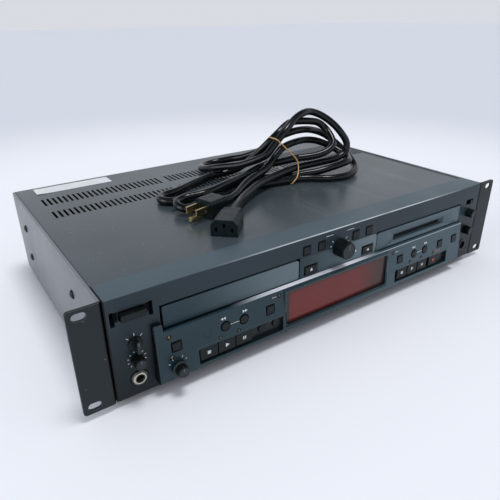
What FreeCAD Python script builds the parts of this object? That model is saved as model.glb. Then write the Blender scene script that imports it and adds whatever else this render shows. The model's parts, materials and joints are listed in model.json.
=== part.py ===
"""Rack-mounted deck for minidiscs and compact discs, with its mains lead lying on the cover.

Lengths are in millimetres. The deck is drawn from the middle of its rack face: x to the right,
y towards the back, z up from the lower edge of the front panel. Each solid is then moved to the
model's own origin, the middle of the footprint on the surface that the feet stand on.
"""
import FreeCAD, Part
import math
import os
from FreeCAD import Vector

# Overall sizes
RACK_WIDTH = 482.6
PANEL_HEIGHT = 88.0
BODY_WIDTH = 438.0
BODY_DEPTH = 282.0
FOOT_HEIGHT = 6.0
REAR_REACH = BODY_DEPTH + 9

# Sheet metal
PLATE_THICKNESS = 2.3
PLATE_BEND = 0.7
SHEET = 1.0
PAN_SHEET = 1.2
COVER_TOP = PANEL_HEIGHT - 1
PAN_BOTTOM = 0.5
PAN_SIDE_TOP = 70.0
EAR_CORNER = 2.5
EAR_SLOT_LENGTH = 10.3
EAR_SLOT_WIDTH = 6.4
EAR_SLOT_SPREAD_X = 465.1
EAR_SLOT_SPREAD_Z = 76.2
SHEET_GAP = 0.2

# Plastic mouldings
WALL = 2.2
BEZEL_WALL = 3.0
BEZEL_DEPTH = 25.0
BEZEL_EDGE = 1.2
SEAM = 0.2
KEY_GAP = 0.4
KEY_TRAVEL = 1.0
FLANGE = 1.0
STEM_END = 7.0
STEM_HALF = 1.6

# Control fascia, the raised lower part of the front
FASCIA_WIDTH = 368.4
FASCIA_BOTTOM = 5.6
LEDGE_Z = 49.7
SHOULDER_TOP = 57.0
SHOULDER_WIDTH = 7.0
PROUD_AT_LEDGE = 4.8
PROUD_AT_BOTTOM = 8.2
FASCIA_BACK = 5.0
LIP = 3.0
LOW_LIP = 1.2
BAND_TOP = 69.4
BAND_GAP = 2.0
MIDDLE_LEFT = -43.2
MIDDLE_RIGHT = 52.2
DIVIDER_CORNER = 3.0

# Disc tray and slot
TRAY_X = -109.3
TRAY_WIDTH = 129.8
TRAY_BOTTOM = 50.3
TRAY_TOP = 68.6
TRAY_FRONT_THICKNESS = 4.0
TRAY_TRAVEL = 136.0
BED_WIDTH = 127.0
BED_BOTTOM = 53.0
BED_TOP = 58.5
BED_END = 172.0
DISC_RADIUS = 60.0
DISC_Y = 72.0
SMALL_DISC_RADIUS = 40.0
DISC_CLEARANCE = 0.6
SLOT_X = 119.7
SLOT_WIDTH = 81.0
SLOT_BOTTOM = 53.8
SLOT_TOP = 60.8
THROAT_WIDTH = 74.0
THROAT_BOTTOM = 54.2
THROAT_TOP = 60.4
SURROUND_LEFT = 53.2
SURROUND_RIGHT = 184.6
SURROUND_DEPTH = 7.0

# Display
WINDOW_LEFT = -62.4
WINDOW_RIGHT = 64.4
WINDOW_BOTTOM = 12.4
WINDOW_TOP = 45.4
WINDOW_CORNER = 2.5
LENS_FACE = -4.4
LENS_THICKNESS = 2.0
BOARD_FACE = 9.0
BOARD_THICKNESS = 1.6

# Knobs and columns of controls
LEFT_COLUMN = -197.4
RIGHT_COLUMN = 201.3
KNOB_GAP = 0.4
SHAFT_RADIUS = 2.5
SHAFT_END = 9.0
DIAL_X = 2.7
DIAL_Z = 68.8
DIAL_RADIUS = 8.0
DIAL_REACH = 13.0
PITCH_X = -168.3
PITCH_Z = 17.2
PITCH_RADIUS = 5.0
PITCH_SKIRT = 6.4
PITCH_REACH = 17.5
PITCH_SHAFT = 2.0
RUNNING_FIT = 0.05

# Origin of the model
MIDDLE_Y = (REAR_REACH - PITCH_REACH) / 2
TO_ORIGIN = Vector(0, -MIDDLE_Y, FOOT_HEIGHT)

BEZEL_HALF = BODY_WIDTH / 2 - PLATE_THICKNESS - 0.3
FASCIA_HALF = FASCIA_WIDTH / 2
FACE_SLOPE = (PROUD_AT_BOTTOM - PROUD_AT_LEDGE) / (LEDGE_Z - FASCIA_BOTTOM)


def save(node, *solids):
    """Write one named piece of the deck at its place in the model."""
    shape = solids[0] if len(solids) == 1 else Part.makeCompound(list(solids))
    placed = shape.copy()
    placed.translate(TO_ORIGIN)
    placed.exportStep("parts/" + node + ".step")


def box(left, right, front, back, bottom, top):
    return Part.makeBox(right - left, back - front, top - bottom, Vector(left, front, bottom))


def rod(x, z, radius, front, back):
    """Round bar along y."""
    return Part.makeCylinder(radius, back - front, Vector(x, front, z), Vector(0, 1, 0))


def post(x, y, radius, bottom, top):
    """Round bar along z."""
    return Part.makeCylinder(radius, top - bottom, Vector(x, y, bottom), Vector(0, 0, 1))


def outline(corners, place):
    """Closed face through (u, v, radius) corners, each rounded to its own radius."""
    count = len(corners)
    turns = []
    for index, (u, v, radius) in enumerate(corners):
        here = Vector(u, v, 0)
        back_way = Vector(corners[index - 1][0], corners[index - 1][1], 0) - here
        on_way = Vector(corners[(index + 1) % count][0], corners[(index + 1) % count][1], 0) - here
        back_way.normalize()
        on_way.normalize()
        if radius == 0:
            turns.append((here, None, here))
            continue
        half = back_way.getAngle(on_way) / 2
        bisector = back_way + on_way
        bisector.normalize()
        run = radius / math.tan(half)
        middle = here + bisector * (radius / math.sin(half) - radius)
        turns.append((here + back_way * run, middle, here + on_way * run))
    edges = []
    for index, (enter, middle, leave) in enumerate(turns):
        if middle is not None:
            arc = Part.Arc(place(enter), place(middle), place(leave))
            edges.append(arc.toShape())
        after = turns[(index + 1) % count][0]
        if leave.distanceToPoint(after) > 1e-6:
            edges.append(Part.LineSegment(place(leave), place(after)).toShape())
    return Part.Face(Part.Wire(edges))


def along_x(corners, left, right):
    """Profile of (y, z, radius) corners, drawn out from left to right."""
    face = outline(corners, lambda point: Vector(left, point.x, point.y))
    return face.extrude(Vector(right - left, 0, 0))


def along_y(corners, front, back):
    """Profile of (x, z, radius) corners, drawn out from front to back."""
    face = outline(corners, lambda point: Vector(point.x, front, point.y))
    return face.extrude(Vector(0, back - front, 0))


def along_z(corners, bottom, top):
    """Profile of (x, y, radius) corners, drawn out from bottom to top."""
    face = outline(corners, lambda point: Vector(point.x, point.y, bottom))
    return face.extrude(Vector(0, 0, top - bottom))


def rounded_bar(x, z, width, height, corner, front, back):
    """Bar along y whose section is a rectangle with round corners."""
    left = x - width / 2
    right = x + width / 2
    bottom = z - height / 2
    top = z + height / 2
    corners = [(left, bottom, corner), (right, bottom, corner), (right, top, corner), (left, top, corner)]
    return along_y(corners, front, back)


def turned(x, z, profile):
    """Solid of revolution about the line along y through (x, z), from (radius, y) points."""
    points = [Vector(x + radius, y, z) for radius, y in profile]
    wire = Part.makePolygon(points + [points[0]])
    return Part.Face(wire).revolve(Vector(x, 0, z), Vector(0, 1, 0), 360)


def join(*solids):
    return solids[0].multiFuse(list(solids[1:])).removeSplitter()


def mirrored(shape):
    return shape.mirror(Vector(0, 0, 0), Vector(1, 0, 0))


def fascia_face(z):
    """How far forward the sloping face of the fascia stands at height z."""
    return -PROUD_AT_BOTTOM + (z - FASCIA_BOTTOM) * FACE_SLOPE


# Keys of the fascia: name, x, z, width, height, corner radius
SQUARE = 7.2
SQUARE_CORNER = 0.8
ROUND_KEY = 7.4
UPPER_ROW = 34.8
KEY_PROUD = 0.7
FASCIA_KEYS = [
    ("key_button", -167.8, UPPER_ROW, SQUARE, SQUARE, SQUARE_CORNER),
    ("cd_search_back_button", -124.2, UPPER_ROW + 0.8, ROUND_KEY, ROUND_KEY, ROUND_KEY / 2),
    ("cd_search_forward_button", -106.4, UPPER_ROW + 0.8, ROUND_KEY, ROUND_KEY, ROUND_KEY / 2),
    ("cd_select_button", -79.6, UPPER_ROW, SQUARE, SQUARE, SQUARE_CORNER),
    ("md_select_button", 84.2, UPPER_ROW, SQUARE, SQUARE, SQUARE_CORNER),
    ("md_search_back_button", 106.0, UPPER_ROW, ROUND_KEY, ROUND_KEY, ROUND_KEY / 2),
    ("md_search_forward_button", 123.2, UPPER_ROW, ROUND_KEY, ROUND_KEY, ROUND_KEY / 2),
    ("md_monitor_button", 148.2, UPPER_ROW, SQUARE, SQUARE, SQUARE_CORNER),
    ("md_record_mode_button", 172.8, UPPER_ROW, SQUARE, SQUARE, SQUARE_CORNER),
]

# Troughs in the fascia, which hold the transport keys
TROUGH_FLOOR = -4.0
TROUGH_BOTTOM = 9.8
TROUGH_TOP = 23.8
TROUGH_CORNER = 1.5
TRANSPORT_FACE = -5.9
TRANSPORT_HEIGHT = 11.6
TRANSPORT_Z = 17.2
CD_TROUGH = (-150.0, -66.2)
MD_TROUGH = (77.8, 162.6)
CD_TRANSPORT = [
    ("cd_stop_button", -140.2, 16.2),
    ("cd_play_button", -123.2, 16.2),
    ("cd_ready_button", -106.2, 16.2),
]
MD_TRANSPORT = [
    ("md_stop_button", 90.6, 14.8),
    ("md_play_button", 106.6, 14.8),
    ("md_ready_button", 122.8, 14.8),
    ("md_record_button", 141.4, 14.8),
]
TROUGH_ROUND_KEYS = [
    ("time_button", -87.4, 18.4),
    ("display_button", -72.6, 18.8),
]
TROUGH_ROUND_FACE = -5.2

# Keys of the upper strip of the bezel and of the middle of the band
STRIP_Z = BAND_TOP + 6.3
STRIP_KEYS = [
    ("cd_menu_button", -36.2),
    ("no_button", -19.1),
    ("yes_button", 22.8),
    ("md_menu_button", 40.2),
]
STRIP_KEY_WIDTH = 7.0
STRIP_KEY_HEIGHT = 7.4
DOOR_KEYS = [
    ("open_close_button", -30.8),
    ("eject_button", 40.4),
]
DOOR_KEY_WIDTH = 13.6
DOOR_KEY_HEIGHT = 7.4
DOOR_KEY_Z = LEDGE_Z + 6.3
DOOR_KEY_PROUD = 1.0

# Indicator lamps of the fascia: x, z
LAMPS = [
    (-173.2, 44.4),
    (-172.8, 26.8),
    (-129.6, 27.0),
    (-112.2, 27.0),
    (-70.0, 44.8),
    (73.6, 44.2),
    (100.4, 27.2),
    (118.2, 27.0),
    (138.2, 27.0),
]
LAMP_RADIUS = 1.4
SENSOR_X = -140.4
SENSOR_Z = 34.9
SENSOR_RADIUS = 3.2

# Power button and its two side slots
POWER_X = LEFT_COLUMN + 0.8
POWER_Z = 72.2
POWER_WIDTH = 19.2
POWER_HEIGHT = 5.4
POWER_PROUD = 5.0
POWER_GAP = 0.8
POWER_TRAVEL = 3.0
POWER_SLOT_WIDTH = 3.4
POWER_SLOT_HEIGHT = 12.2
POWER_SLOT_SPREAD = 14.4

# Phones controls and jack
SELECTOR_Z = 46.8
SELECTOR_DISC = 5.4
SELECTOR_BAR = 2.6
SELECTOR_REACH = 8.0
LEVEL_Z = 32.6
LEVEL_RADIUS = 4.6
LEVEL_REACH = 9.5
JACK_Z = 15.4
JACK_BORE = 3.2
JACK_DEPTH = 15.0
JACK_BUSH = 6.5
JACK_RING = 5.2
JACK_REACH = 2.0

# Input controls and keyboard socket
SWITCH_Z = 69.6
SWITCH_SLOT_WIDTH = 12.5
SWITCH_SLOT_HEIGHT = 5.8
SWITCH_TRAVEL = 5.0
INPUT_KNOB_HEIGHTS = [("input_left_knob", 57.0), ("input_right_knob", 36.4)]
INPUT_KNOB_RADIUS = 4.7
INPUT_KNOB_REACH = 8.0
SOCKET_Z = 16.8
SOCKET_FLANGE = 7.0
SOCKET_BODY = 6.2
SOCKET_CAVITY = 4.7
SOCKET_DEPTH = 5.6

# Cover vents
VENT_WIDTH = 2.6
VENT_PITCH = 5.33
VENTS_IN_GROUP = 25
VENT_GROUPS = 3
VENT_GROUP_GAP = 9.7
VENT_ROWS = [(175.6, 195.4), (216.0, 238.0)]
VENT_LEFT = -199.5

# Screws of the case
SIDE_SCREWS = [(72.0, 27.0), (72.0, 60.0), (236.0, 27.0), (236.0, 60.0)]
SCREW_SHANK = 1.5
SCREW_HEAD = 3.2
SCREW_HEAD_HEIGHT = 1.6
SCREW_LENGTH = 6.0
TOP_SCREW = (-59.0, 191.0)

# Disc mechanisms
GUIDE_GAP = 0.5
GUIDE_WALL = 2.5
GUIDE_FRONT = 28.0
GUIDE_BACK = 182.0
GUIDE_BASE = 28.0
GUIDE_TOP = 66.0
RUNNER_GAP = 0.3
TURNTABLE_RADIUS = 15.0
SPINDLE_RADIUS = 1.5
CARRIAGE_FRONT = 28.0
CARRIAGE_BACK = 150.0
CARRIAGE_DEPTH = 74.0
CARTRIDGE_WIDTH = 73.0
CARTRIDGE_SPACE = 6.8
FLAP_THICKNESS = 1.0
FLAP_PIN = 0.8
FLAP_Z = 62.4
FLAP_Y = 8.8

# Rear panel
REAR_PANEL = BODY_DEPTH - 4
REAR_PANEL_TOP = COVER_TOP - SHEET
INLET_X = -188.0
INLET_Z = 44.0


def ear_slots(side):
    """Long holes of one rack ear."""
    x = side * EAR_SLOT_SPREAD_X / 2
    middle = PANEL_HEIGHT / 2
    slots = []
    for z in (middle - EAR_SLOT_SPREAD_Z / 2, middle + EAR_SLOT_SPREAD_Z / 2):
        slots.append(rounded_bar(x, z, EAR_SLOT_LENGTH, EAR_SLOT_WIDTH, EAR_SLOT_WIDTH / 2 - 0.001,
                                 -1, PLATE_THICKNESS + 1))
    return slots


def screw_holes(left, right):
    return [Part.makeCylinder(SCREW_SHANK + 0.1, right - left, Vector(left, y, z), Vector(1, 0, 0))
            for y, z in SIDE_SCREWS]


def right_side_plate():
    """Side plate as deep as the case, its front edge folded outwards into a rack ear."""
    inner = BODY_WIDTH / 2 - PLATE_THICKNESS
    outer = BODY_WIDTH / 2
    tip = RACK_WIDTH / 2
    end = BODY_DEPTH - 4
    corners = [
        (inner, 0, PLATE_BEND + PLATE_THICKNESS),
        (tip, 0, 0),
        (tip, PLATE_THICKNESS, 0),
        (outer, PLATE_THICKNESS, PLATE_BEND),
        (outer, end, 0),
        (inner, end, 0),
    ]
    plate = along_z(corners, 0, PANEL_HEIGHT)
    tip_edges = [edge for edge in plate.Edges
                 if abs(edge.CenterOfMass.x - tip) < 0.01 and abs(edge.Length - PLATE_THICKNESS) < 0.01]
    plate = plate.makeFillet(EAR_CORNER, tip_edges)
    return plate.cut(ear_slots(1) + screw_holes(inner - 1, outer + 1))


def vents():
    """Two rows of ventilation slots in three groups."""
    slots = []
    group_length = VENTS_IN_GROUP * VENT_PITCH - (VENT_PITCH - VENT_WIDTH) + VENT_GROUP_GAP
    for group in range(VENT_GROUPS):
        for number in range(VENTS_IN_GROUP):
            left = VENT_LEFT + group * group_length + number * VENT_PITCH
            for front, back in VENT_ROWS:
                slots.append(box(left, left + VENT_WIDTH, front, back, COVER_TOP - 2, COVER_TOP + 1))
    return slots


def top_cover():
    """Folded sheet: the top and both sides, open underneath."""
    half = BODY_WIDTH / 2 - PLATE_THICKNESS - SHEET_GAP
    bend = 1.5
    low = PAN_BOTTOM + PAN_SHEET + 0.3
    corners = [
        (-half, low, 0), (-half + SHEET, low, 0),
        (-half + SHEET, COVER_TOP - SHEET, bend - SHEET),
        (half - SHEET, COVER_TOP - SHEET, bend - SHEET),
        (half - SHEET, low, 0), (half, low, 0),
        (half, COVER_TOP, bend), (-half, COVER_TOP, bend),
    ]
    sheet = along_y(corners, BEZEL_DEPTH + 0.4, BODY_DEPTH)
    screw_hole = post(TOP_SCREW[0], TOP_SCREW[1], SCREW_SHANK + 0.1, COVER_TOP - 2, COVER_TOP + 1)
    return sheet.cut(vents() + screw_holes(-half - 1, half + 1) + [screw_hole])


def chassis_pan():
    """Bottom tray with folded sides and a low front wall."""
    half = BODY_WIDTH / 2 - PLATE_THICKNESS - SHEET_GAP - SHEET - 0.3
    front = BEZEL_DEPTH + 0.4
    back = REAR_PANEL - 0.2
    corners = [
        (-half, PAN_BOTTOM, 1.6), (half, PAN_BOTTOM, 1.6), (half, PAN_SIDE_TOP, 0),
        (half - PAN_SHEET, PAN_SIDE_TOP, 0), (half - PAN_SHEET, PAN_BOTTOM + PAN_SHEET, 0.4),
        (-half + PAN_SHEET, PAN_BOTTOM + PAN_SHEET, 0.4), (-half + PAN_SHEET, PAN_SIDE_TOP, 0),
        (-half, PAN_SIDE_TOP, 0),
    ]
    tray = along_y(corners, front, back)
    wall = box(-half + PAN_SHEET, half - PAN_SHEET, front, front + PAN_SHEET, PAN_BOTTOM + 0.5, 26)
    pan = join(tray, wall)
    return pan.cut(screw_holes(-half - 1, half + 1))


def screws():
    """Pan-head screws: four in each side and one through the top."""
    profile = [Vector(0, 0, -SCREW_LENGTH), Vector(SCREW_SHANK, 0, -SCREW_LENGTH), Vector(SCREW_SHANK, 0, 0),
               Vector(SCREW_HEAD, 0, 0), Vector(SCREW_HEAD * 0.7, 0, SCREW_HEAD_HEIGHT),
               Vector(0, 0, SCREW_HEAD_HEIGHT)]
    wire = Part.makePolygon(profile + [profile[0]])
    screw = Part.Face(wire).revolve(Vector(0, 0, 0), Vector(0, 0, 1), 360)
    placed = []
    for side in (-1, 1):
        for y, z in SIDE_SCREWS:
            copy = screw.copy()
            copy.rotate(Vector(0, 0, 0), Vector(0, 1, 0), 90 * side)
            copy.translate(Vector(side * BODY_WIDTH / 2, y, z))
            placed.append(copy)
    top = screw.copy()
    top.translate(Vector(TOP_SCREW[0], TOP_SCREW[1], COVER_TOP))
    placed.append(top)
    return placed


def feet():
    """Four turned feet under the pan."""
    placed = []
    for x in (-185, 185):
        for y in (45, BODY_DEPTH - 37):
            profile = [Vector(0, 0, PAN_BOTTOM), Vector(9.5, 0, PAN_BOTTOM),
                       Vector(8, 0, -FOOT_HEIGHT + 1), Vector(7, 0, -FOOT_HEIGHT), Vector(0, 0, -FOOT_HEIGHT)]
            wire = Part.makePolygon(profile + [profile[0]])
            foot = Part.Face(wire).revolve(Vector(0, 0, 0), Vector(0, 0, 1), 360)
            foot.translate(Vector(x, y, 0))
            placed.append(foot)
    return placed


def key_opening(x, z, width, height, corner, front, back, gap=KEY_GAP):
    return rounded_bar(x, z, width + 2 * gap, height + 2 * gap, min(corner + gap, height / 2 + gap - 0.001),
                       front, back)


def key(x, z, width, height, corner, face, wall_back, flange_sides=True):
    """Cap with a dished edge, a retaining flange behind the wall and a stem for its switch."""
    back = wall_back + 0.3
    if corner > 0.49 * height:
        cap = rod(x, z, width / 2, face, back + 0.2)
    else:
        cap = rounded_bar(x, z, width, height, corner, face, back + 0.2)
    rim = [edge for edge in cap.Edges if abs(edge.BoundBox.YMax - face) < 1e-6]
    cap = cap.makeChamfer(0.3, rim)
    spread = 2 * FLANGE if flange_sides else 0
    half = width / 2 + spread / 2
    rise = height / 2 + FLANGE
    flange = box(x - half, x + half, back, back + FLANGE, z - rise, z + rise)
    stem = box(x - STEM_HALF, x + STEM_HALF, back + 0.5, STEM_END, z - STEM_HALF, z + STEM_HALF)
    return join(cap, flange, stem)


def bezel_opening_box(left, right, bottom, top):
    return box(left, right, -1, BEZEL_WALL + 0.5, bottom, top)


def front_bezel():
    """Moulded frame round the fascia, tray and slot, with the power, phones and input controls."""
    half = BEZEL_HALF
    edge = BEZEL_EDGE
    section = [(0, 0, edge), (BEZEL_DEPTH, 0, 0), (BEZEL_DEPTH, PANEL_HEIGHT, 0), (0, PANEL_HEIGHT, edge)]
    body = along_x(section, -half, half)
    sides = [line for line in body.Edges
             if abs(abs(line.CenterOfMass.x) - half) < 0.01 and line.CenterOfMass.y < 0.01
             and line.Length > PANEL_HEIGHT / 2]
    body = body.makeFillet(edge * 0.6, sides)
    inside = box(-half + WALL, half - WALL, BEZEL_WALL, BEZEL_DEPTH + 1, WALL, PANEL_HEIGHT - WALL)
    body = body.cut(inside)
    fascia = FASCIA_HALF + SEAM
    tray_left = TRAY_X - TRAY_WIDTH / 2 - BAND_GAP
    middle_left = MIDDLE_LEFT - SEAM
    middle_right = MIDDLE_RIGHT + SEAM
    openings = [
        bezel_opening_box(-fascia, fascia, FASCIA_BOTTOM - SEAM, LEDGE_Z),
        bezel_opening_box(-fascia, -fascia + SHOULDER_WIDTH + 2 * SEAM, LEDGE_Z - 1, SHOULDER_TOP + SEAM),
        bezel_opening_box(tray_left, middle_left, LEDGE_Z - 1, TRAY_TOP + BAND_GAP),
        bezel_opening_box(middle_left - 1, middle_right + 1, LEDGE_Z - 1, BAND_TOP + SEAM),
        bezel_opening_box(middle_right, SURROUND_RIGHT + 0.6, LEDGE_Z - 1, TRAY_TOP + BAND_GAP),
        rod(DIAL_X, DIAL_Z, SHAFT_RADIUS + 0.5 + KNOB_GAP, -1, BEZEL_WALL + 1),
        key_opening(POWER_X, POWER_Z, POWER_WIDTH, POWER_HEIGHT, 0.5, -1, BEZEL_WALL + 1, POWER_GAP),
        rod(LEFT_COLUMN, SELECTOR_Z, SHAFT_RADIUS + KNOB_GAP, -1, BEZEL_WALL + 1),
        rod(LEFT_COLUMN, LEVEL_Z, SHAFT_RADIUS + KNOB_GAP, -1, BEZEL_WALL + 1),
        rod(LEFT_COLUMN, JACK_Z, JACK_BUSH + 0.1, -1, BEZEL_WALL + 1),
        rod(RIGHT_COLUMN, SOCKET_Z, SOCKET_BODY + 0.1, -1, BEZEL_WALL + 1),
        rounded_bar(RIGHT_COLUMN, SWITCH_Z, SWITCH_SLOT_WIDTH, SWITCH_SLOT_HEIGHT, 0.4, -1, BEZEL_WALL + 1),
    ]
    for side in (-1, 1):
        slot = rounded_bar(POWER_X - 0.4 + side * POWER_SLOT_SPREAD, POWER_Z - 0.9, POWER_SLOT_WIDTH,
                           POWER_SLOT_HEIGHT, 1.0, -1, BEZEL_WALL + 1)
        openings.append(slot)
    for name, z in INPUT_KNOB_HEIGHTS:
        openings.append(rod(RIGHT_COLUMN, z, SHAFT_RADIUS + KNOB_GAP, -1, BEZEL_WALL + 1))
    for name, x in STRIP_KEYS:
        openings.append(key_opening(x, STRIP_Z, STRIP_KEY_WIDTH, STRIP_KEY_HEIGHT, SQUARE_CORNER,
                                    -1, BEZEL_WALL + 1))
    return body.cut(openings)


def wedge(left, right, bottom, top, inset, back, foot_corner, top_corner):
    """Block whose front follows the sloping face, set back from it by inset."""
    corners = [
        (back, bottom, 0),
        (fascia_face(bottom) + inset, bottom, foot_corner),
        (fascia_face(top) + inset, top, top_corner),
        (back, top, 0),
    ]
    return along_x(corners, left, right)


def fascia_shell():
    """Hollow sloping moulding with the shoulder beside the tray and the middle of the band."""
    half = FASCIA_HALF
    outer = wedge(-half, half, FASCIA_BOTTOM, LEDGE_Z, 0, FASCIA_BACK, 2.5, 0.6)
    shoulder = wedge(-half, -half + SHOULDER_WIDTH, LEDGE_Z - 2, SHOULDER_TOP, 0, FASCIA_BACK, 0, 0.6)
    middle = along_y([(MIDDLE_LEFT, LEDGE_Z - 1, 0), (MIDDLE_RIGHT, LEDGE_Z - 1, 0),
                      (MIDDLE_RIGHT, BAND_TOP, DIVIDER_CORNER), (MIDDLE_LEFT, BAND_TOP, 0.5)], 0, FASCIA_BACK)
    lip_back = FASCIA_BACK
    lips = [
        box(-half - LIP, half + LIP, BEZEL_WALL, lip_back, WALL + 0.1, LEDGE_Z),
        box(-half - LIP, -half + SHOULDER_WIDTH - 2, BEZEL_WALL, lip_back, LEDGE_Z - 1, SHOULDER_TOP + LIP),
        box(MIDDLE_LEFT + WALL, MIDDLE_RIGHT - WALL, BEZEL_WALL, lip_back, BAND_TOP - 1, BAND_TOP + LOW_LIP),
    ]
    hollow = wedge(-half + WALL, half - WALL, FASCIA_BOTTOM + WALL, LEDGE_Z - WALL, WALL,
                   FASCIA_BACK + 1, 0.8, 0)
    middle_hollow = box(MIDDLE_LEFT + WALL, MIDDLE_RIGHT - WALL, WALL, FASCIA_BACK + 1,
                        LEDGE_Z, BAND_TOP - WALL)
    return join(outer, shoulder, middle, *lips).cut([hollow, middle_hollow])


def trough_pan(trough):
    """Pocket wall that carries a trough's floor behind the face."""
    left, right = trough
    return box(left - WALL, right + WALL, TROUGH_FLOOR - 3, TROUGH_FLOOR + 2,
               TROUGH_BOTTOM - WALL, TROUGH_TOP + WALL)


def trough_space(trough):
    left, right = trough
    corners = [(left, TROUGH_BOTTOM, TROUGH_CORNER), (right, TROUGH_BOTTOM, TROUGH_CORNER),
               (right, TROUGH_TOP, TROUGH_CORNER), (left, TROUGH_TOP, TROUGH_CORNER)]
    return along_y(corners, -2 * PROUD_AT_BOTTOM, TROUGH_FLOOR)


def transport_opening(row):
    left = row[0][1] - row[0][2] / 2 - KEY_GAP
    right = row[-1][1] + row[-1][2] / 2 + KEY_GAP
    low = TRANSPORT_Z - TRANSPORT_HEIGHT / 2 - KEY_GAP
    high = TRANSPORT_Z + TRANSPORT_HEIGHT / 2 + KEY_GAP
    return box(left, right, TROUGH_FLOOR - 1, TROUGH_FLOOR + 3, low, high)


def control_fascia():
    """Raised control panel with its troughs, window frame, key openings and board posts."""
    front = -2 * PROUD_AT_BOTTOM
    shell = fascia_shell()
    additions = [trough_pan(CD_TROUGH), trough_pan(MD_TROUGH)]
    frame = WALL
    additions.append(box(WINDOW_LEFT - frame, WINDOW_RIGHT + frame, fascia_face(WINDOW_BOTTOM) + 1,
                         LENS_FACE + LENS_THICKNESS, WINDOW_BOTTOM - frame, WINDOW_TOP + frame - 0.3))
    post_x = FASCIA_HALF - WALL - 3.4
    for side in (-1, 1):
        for z in (FASCIA_BOTTOM + 7.4, LEDGE_Z - 6.2):
            additions.append(rod(side * post_x, z, 2.4, fascia_face(z) + 1, BOARD_FACE))
    body = join(shell, *additions)
    cuts = [trough_space(CD_TROUGH), trough_space(MD_TROUGH),
            transport_opening(CD_TRANSPORT), transport_opening(MD_TRANSPORT)]
    window_x = (WINDOW_LEFT + WINDOW_RIGHT) / 2
    window_z = (WINDOW_BOTTOM + WINDOW_TOP) / 2
    cuts.append(rounded_bar(window_x, window_z, WINDOW_RIGHT - WINDOW_LEFT, WINDOW_TOP - WINDOW_BOTTOM,
                            WINDOW_CORNER, front, FASCIA_BACK))
    for name, x, z, width, height, corner in FASCIA_KEYS:
        cuts.append(key_opening(x, z, width, height, corner, front, 0))
    for name, x, z in TROUGH_ROUND_KEYS:
        cuts.append(rod(x, z, ROUND_KEY / 2 + KEY_GAP, front, 0))
    for name, x in DOOR_KEYS:
        cuts.append(key_opening(x, DOOR_KEY_Z, DOOR_KEY_WIDTH, DOOR_KEY_HEIGHT, SQUARE_CORNER, -1, WALL + 1))
    for x, z in LAMPS:
        cuts.append(rod(x, z, LAMP_RADIUS + 0.1, front, 0))
    cuts.append(rod(PITCH_X, PITCH_Z, PITCH_SHAFT + KNOB_GAP, front, 0))
    cuts.append(rod(DIAL_X, DIAL_Z, SHAFT_RADIUS + 0.5 + KNOB_GAP, -1, FASCIA_BACK + 1))
    ring_front = fascia_face(SENSOR_Z) - 1
    ring = rod(SENSOR_X, SENSOR_Z, SENSOR_RADIUS + 0.5, ring_front, fascia_face(SENSOR_Z) + 0.5)
    cuts.append(ring.cut(rod(SENSOR_X, SENSOR_Z, SENSOR_RADIUS, ring_front, 0)))
    groove_z = UPPER_ROW + 0.8
    search_left = FASCIA_KEYS[1][1]
    search_right = FASCIA_KEYS[2][1]
    cuts.append(box(search_left, search_right, ring_front, fascia_face(groove_z) + 0.5,
                    groove_z - 1.1, groove_z + 1.1))
    return body.cut(cuts)


def slot_surround():
    """Plate round the minidisc slot, dished towards a tapering mouth, with ears for the flap."""
    corner = DIVIDER_CORNER
    plate = along_y([(SURROUND_LEFT, LEDGE_Z + 0.5, 0.5), (SURROUND_RIGHT, LEDGE_Z + 0.5, corner),
                     (SURROUND_RIGHT, TRAY_TOP, 0.5), (SURROUND_LEFT, TRAY_TOP, corner)], 0, SURROUND_DEPTH)
    left = SURROUND_LEFT + 5
    right = SURROUND_RIGHT - 5
    lip = box(left, right, BEZEL_WALL, BEZEL_WALL + 2, TRAY_TOP - 1, TRAY_TOP + BAND_GAP + LIP)
    low_lip = box(left, right - 8, FASCIA_BACK + 0.2, SURROUND_DEPTH, LEDGE_Z - 4, LEDGE_Z + 1)

    def mouth(width, bottom, top, y):
        middle = SLOT_X
        points = [Vector(middle - width / 2, y, bottom), Vector(middle + width / 2, y, bottom),
                  Vector(middle + width / 2, y, top), Vector(middle - width / 2, y, top)]
        return Part.makePolygon(points + [points[0]])

    rim = mouth(SLOT_WIDTH + 24, LEDGE_Z + 1.6, TRAY_TOP - 1.2, -0.1)
    dish = Part.makeLoft([rim, mouth(SLOT_WIDTH, SLOT_BOTTOM, SLOT_TOP, 1.8)], True, True)
    throat = mouth(THROAT_WIDTH, THROAT_BOTTOM, THROAT_TOP, SURROUND_DEPTH + 0.05)
    funnel = Part.makeLoft([mouth(SLOT_WIDTH, SLOT_BOTTOM, SLOT_TOP, 1.75), throat], True, True)
    ears = []
    ear_inner = THROAT_WIDTH / 2 + 1.0
    for side in (-1, 1):
        left = SLOT_X + side * (ear_inner + 0.75) - 0.75
        back = FLAP_Y + 2.2
        ears.append(along_x([(SURROUND_DEPTH - 0.5, FLAP_Z - 3, 0), (back, FLAP_Z - 3, 1.0),
                             (back, FLAP_Z + 2.2, 2.0), (SURROUND_DEPTH - 0.5, FLAP_Z + 2.2, 0)],
                            left, left + 1.5))
    body = join(plate, lip, low_lip, *ears)
    pin_hole = Part.makeCylinder(FLAP_PIN + RUNNING_FIT, THROAT_WIDTH + 20,
                                 Vector(SLOT_X - THROAT_WIDTH / 2 - 10, FLAP_Y, FLAP_Z), Vector(1, 0, 0))
    return body.cut([dish, funnel, pin_hole])


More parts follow.
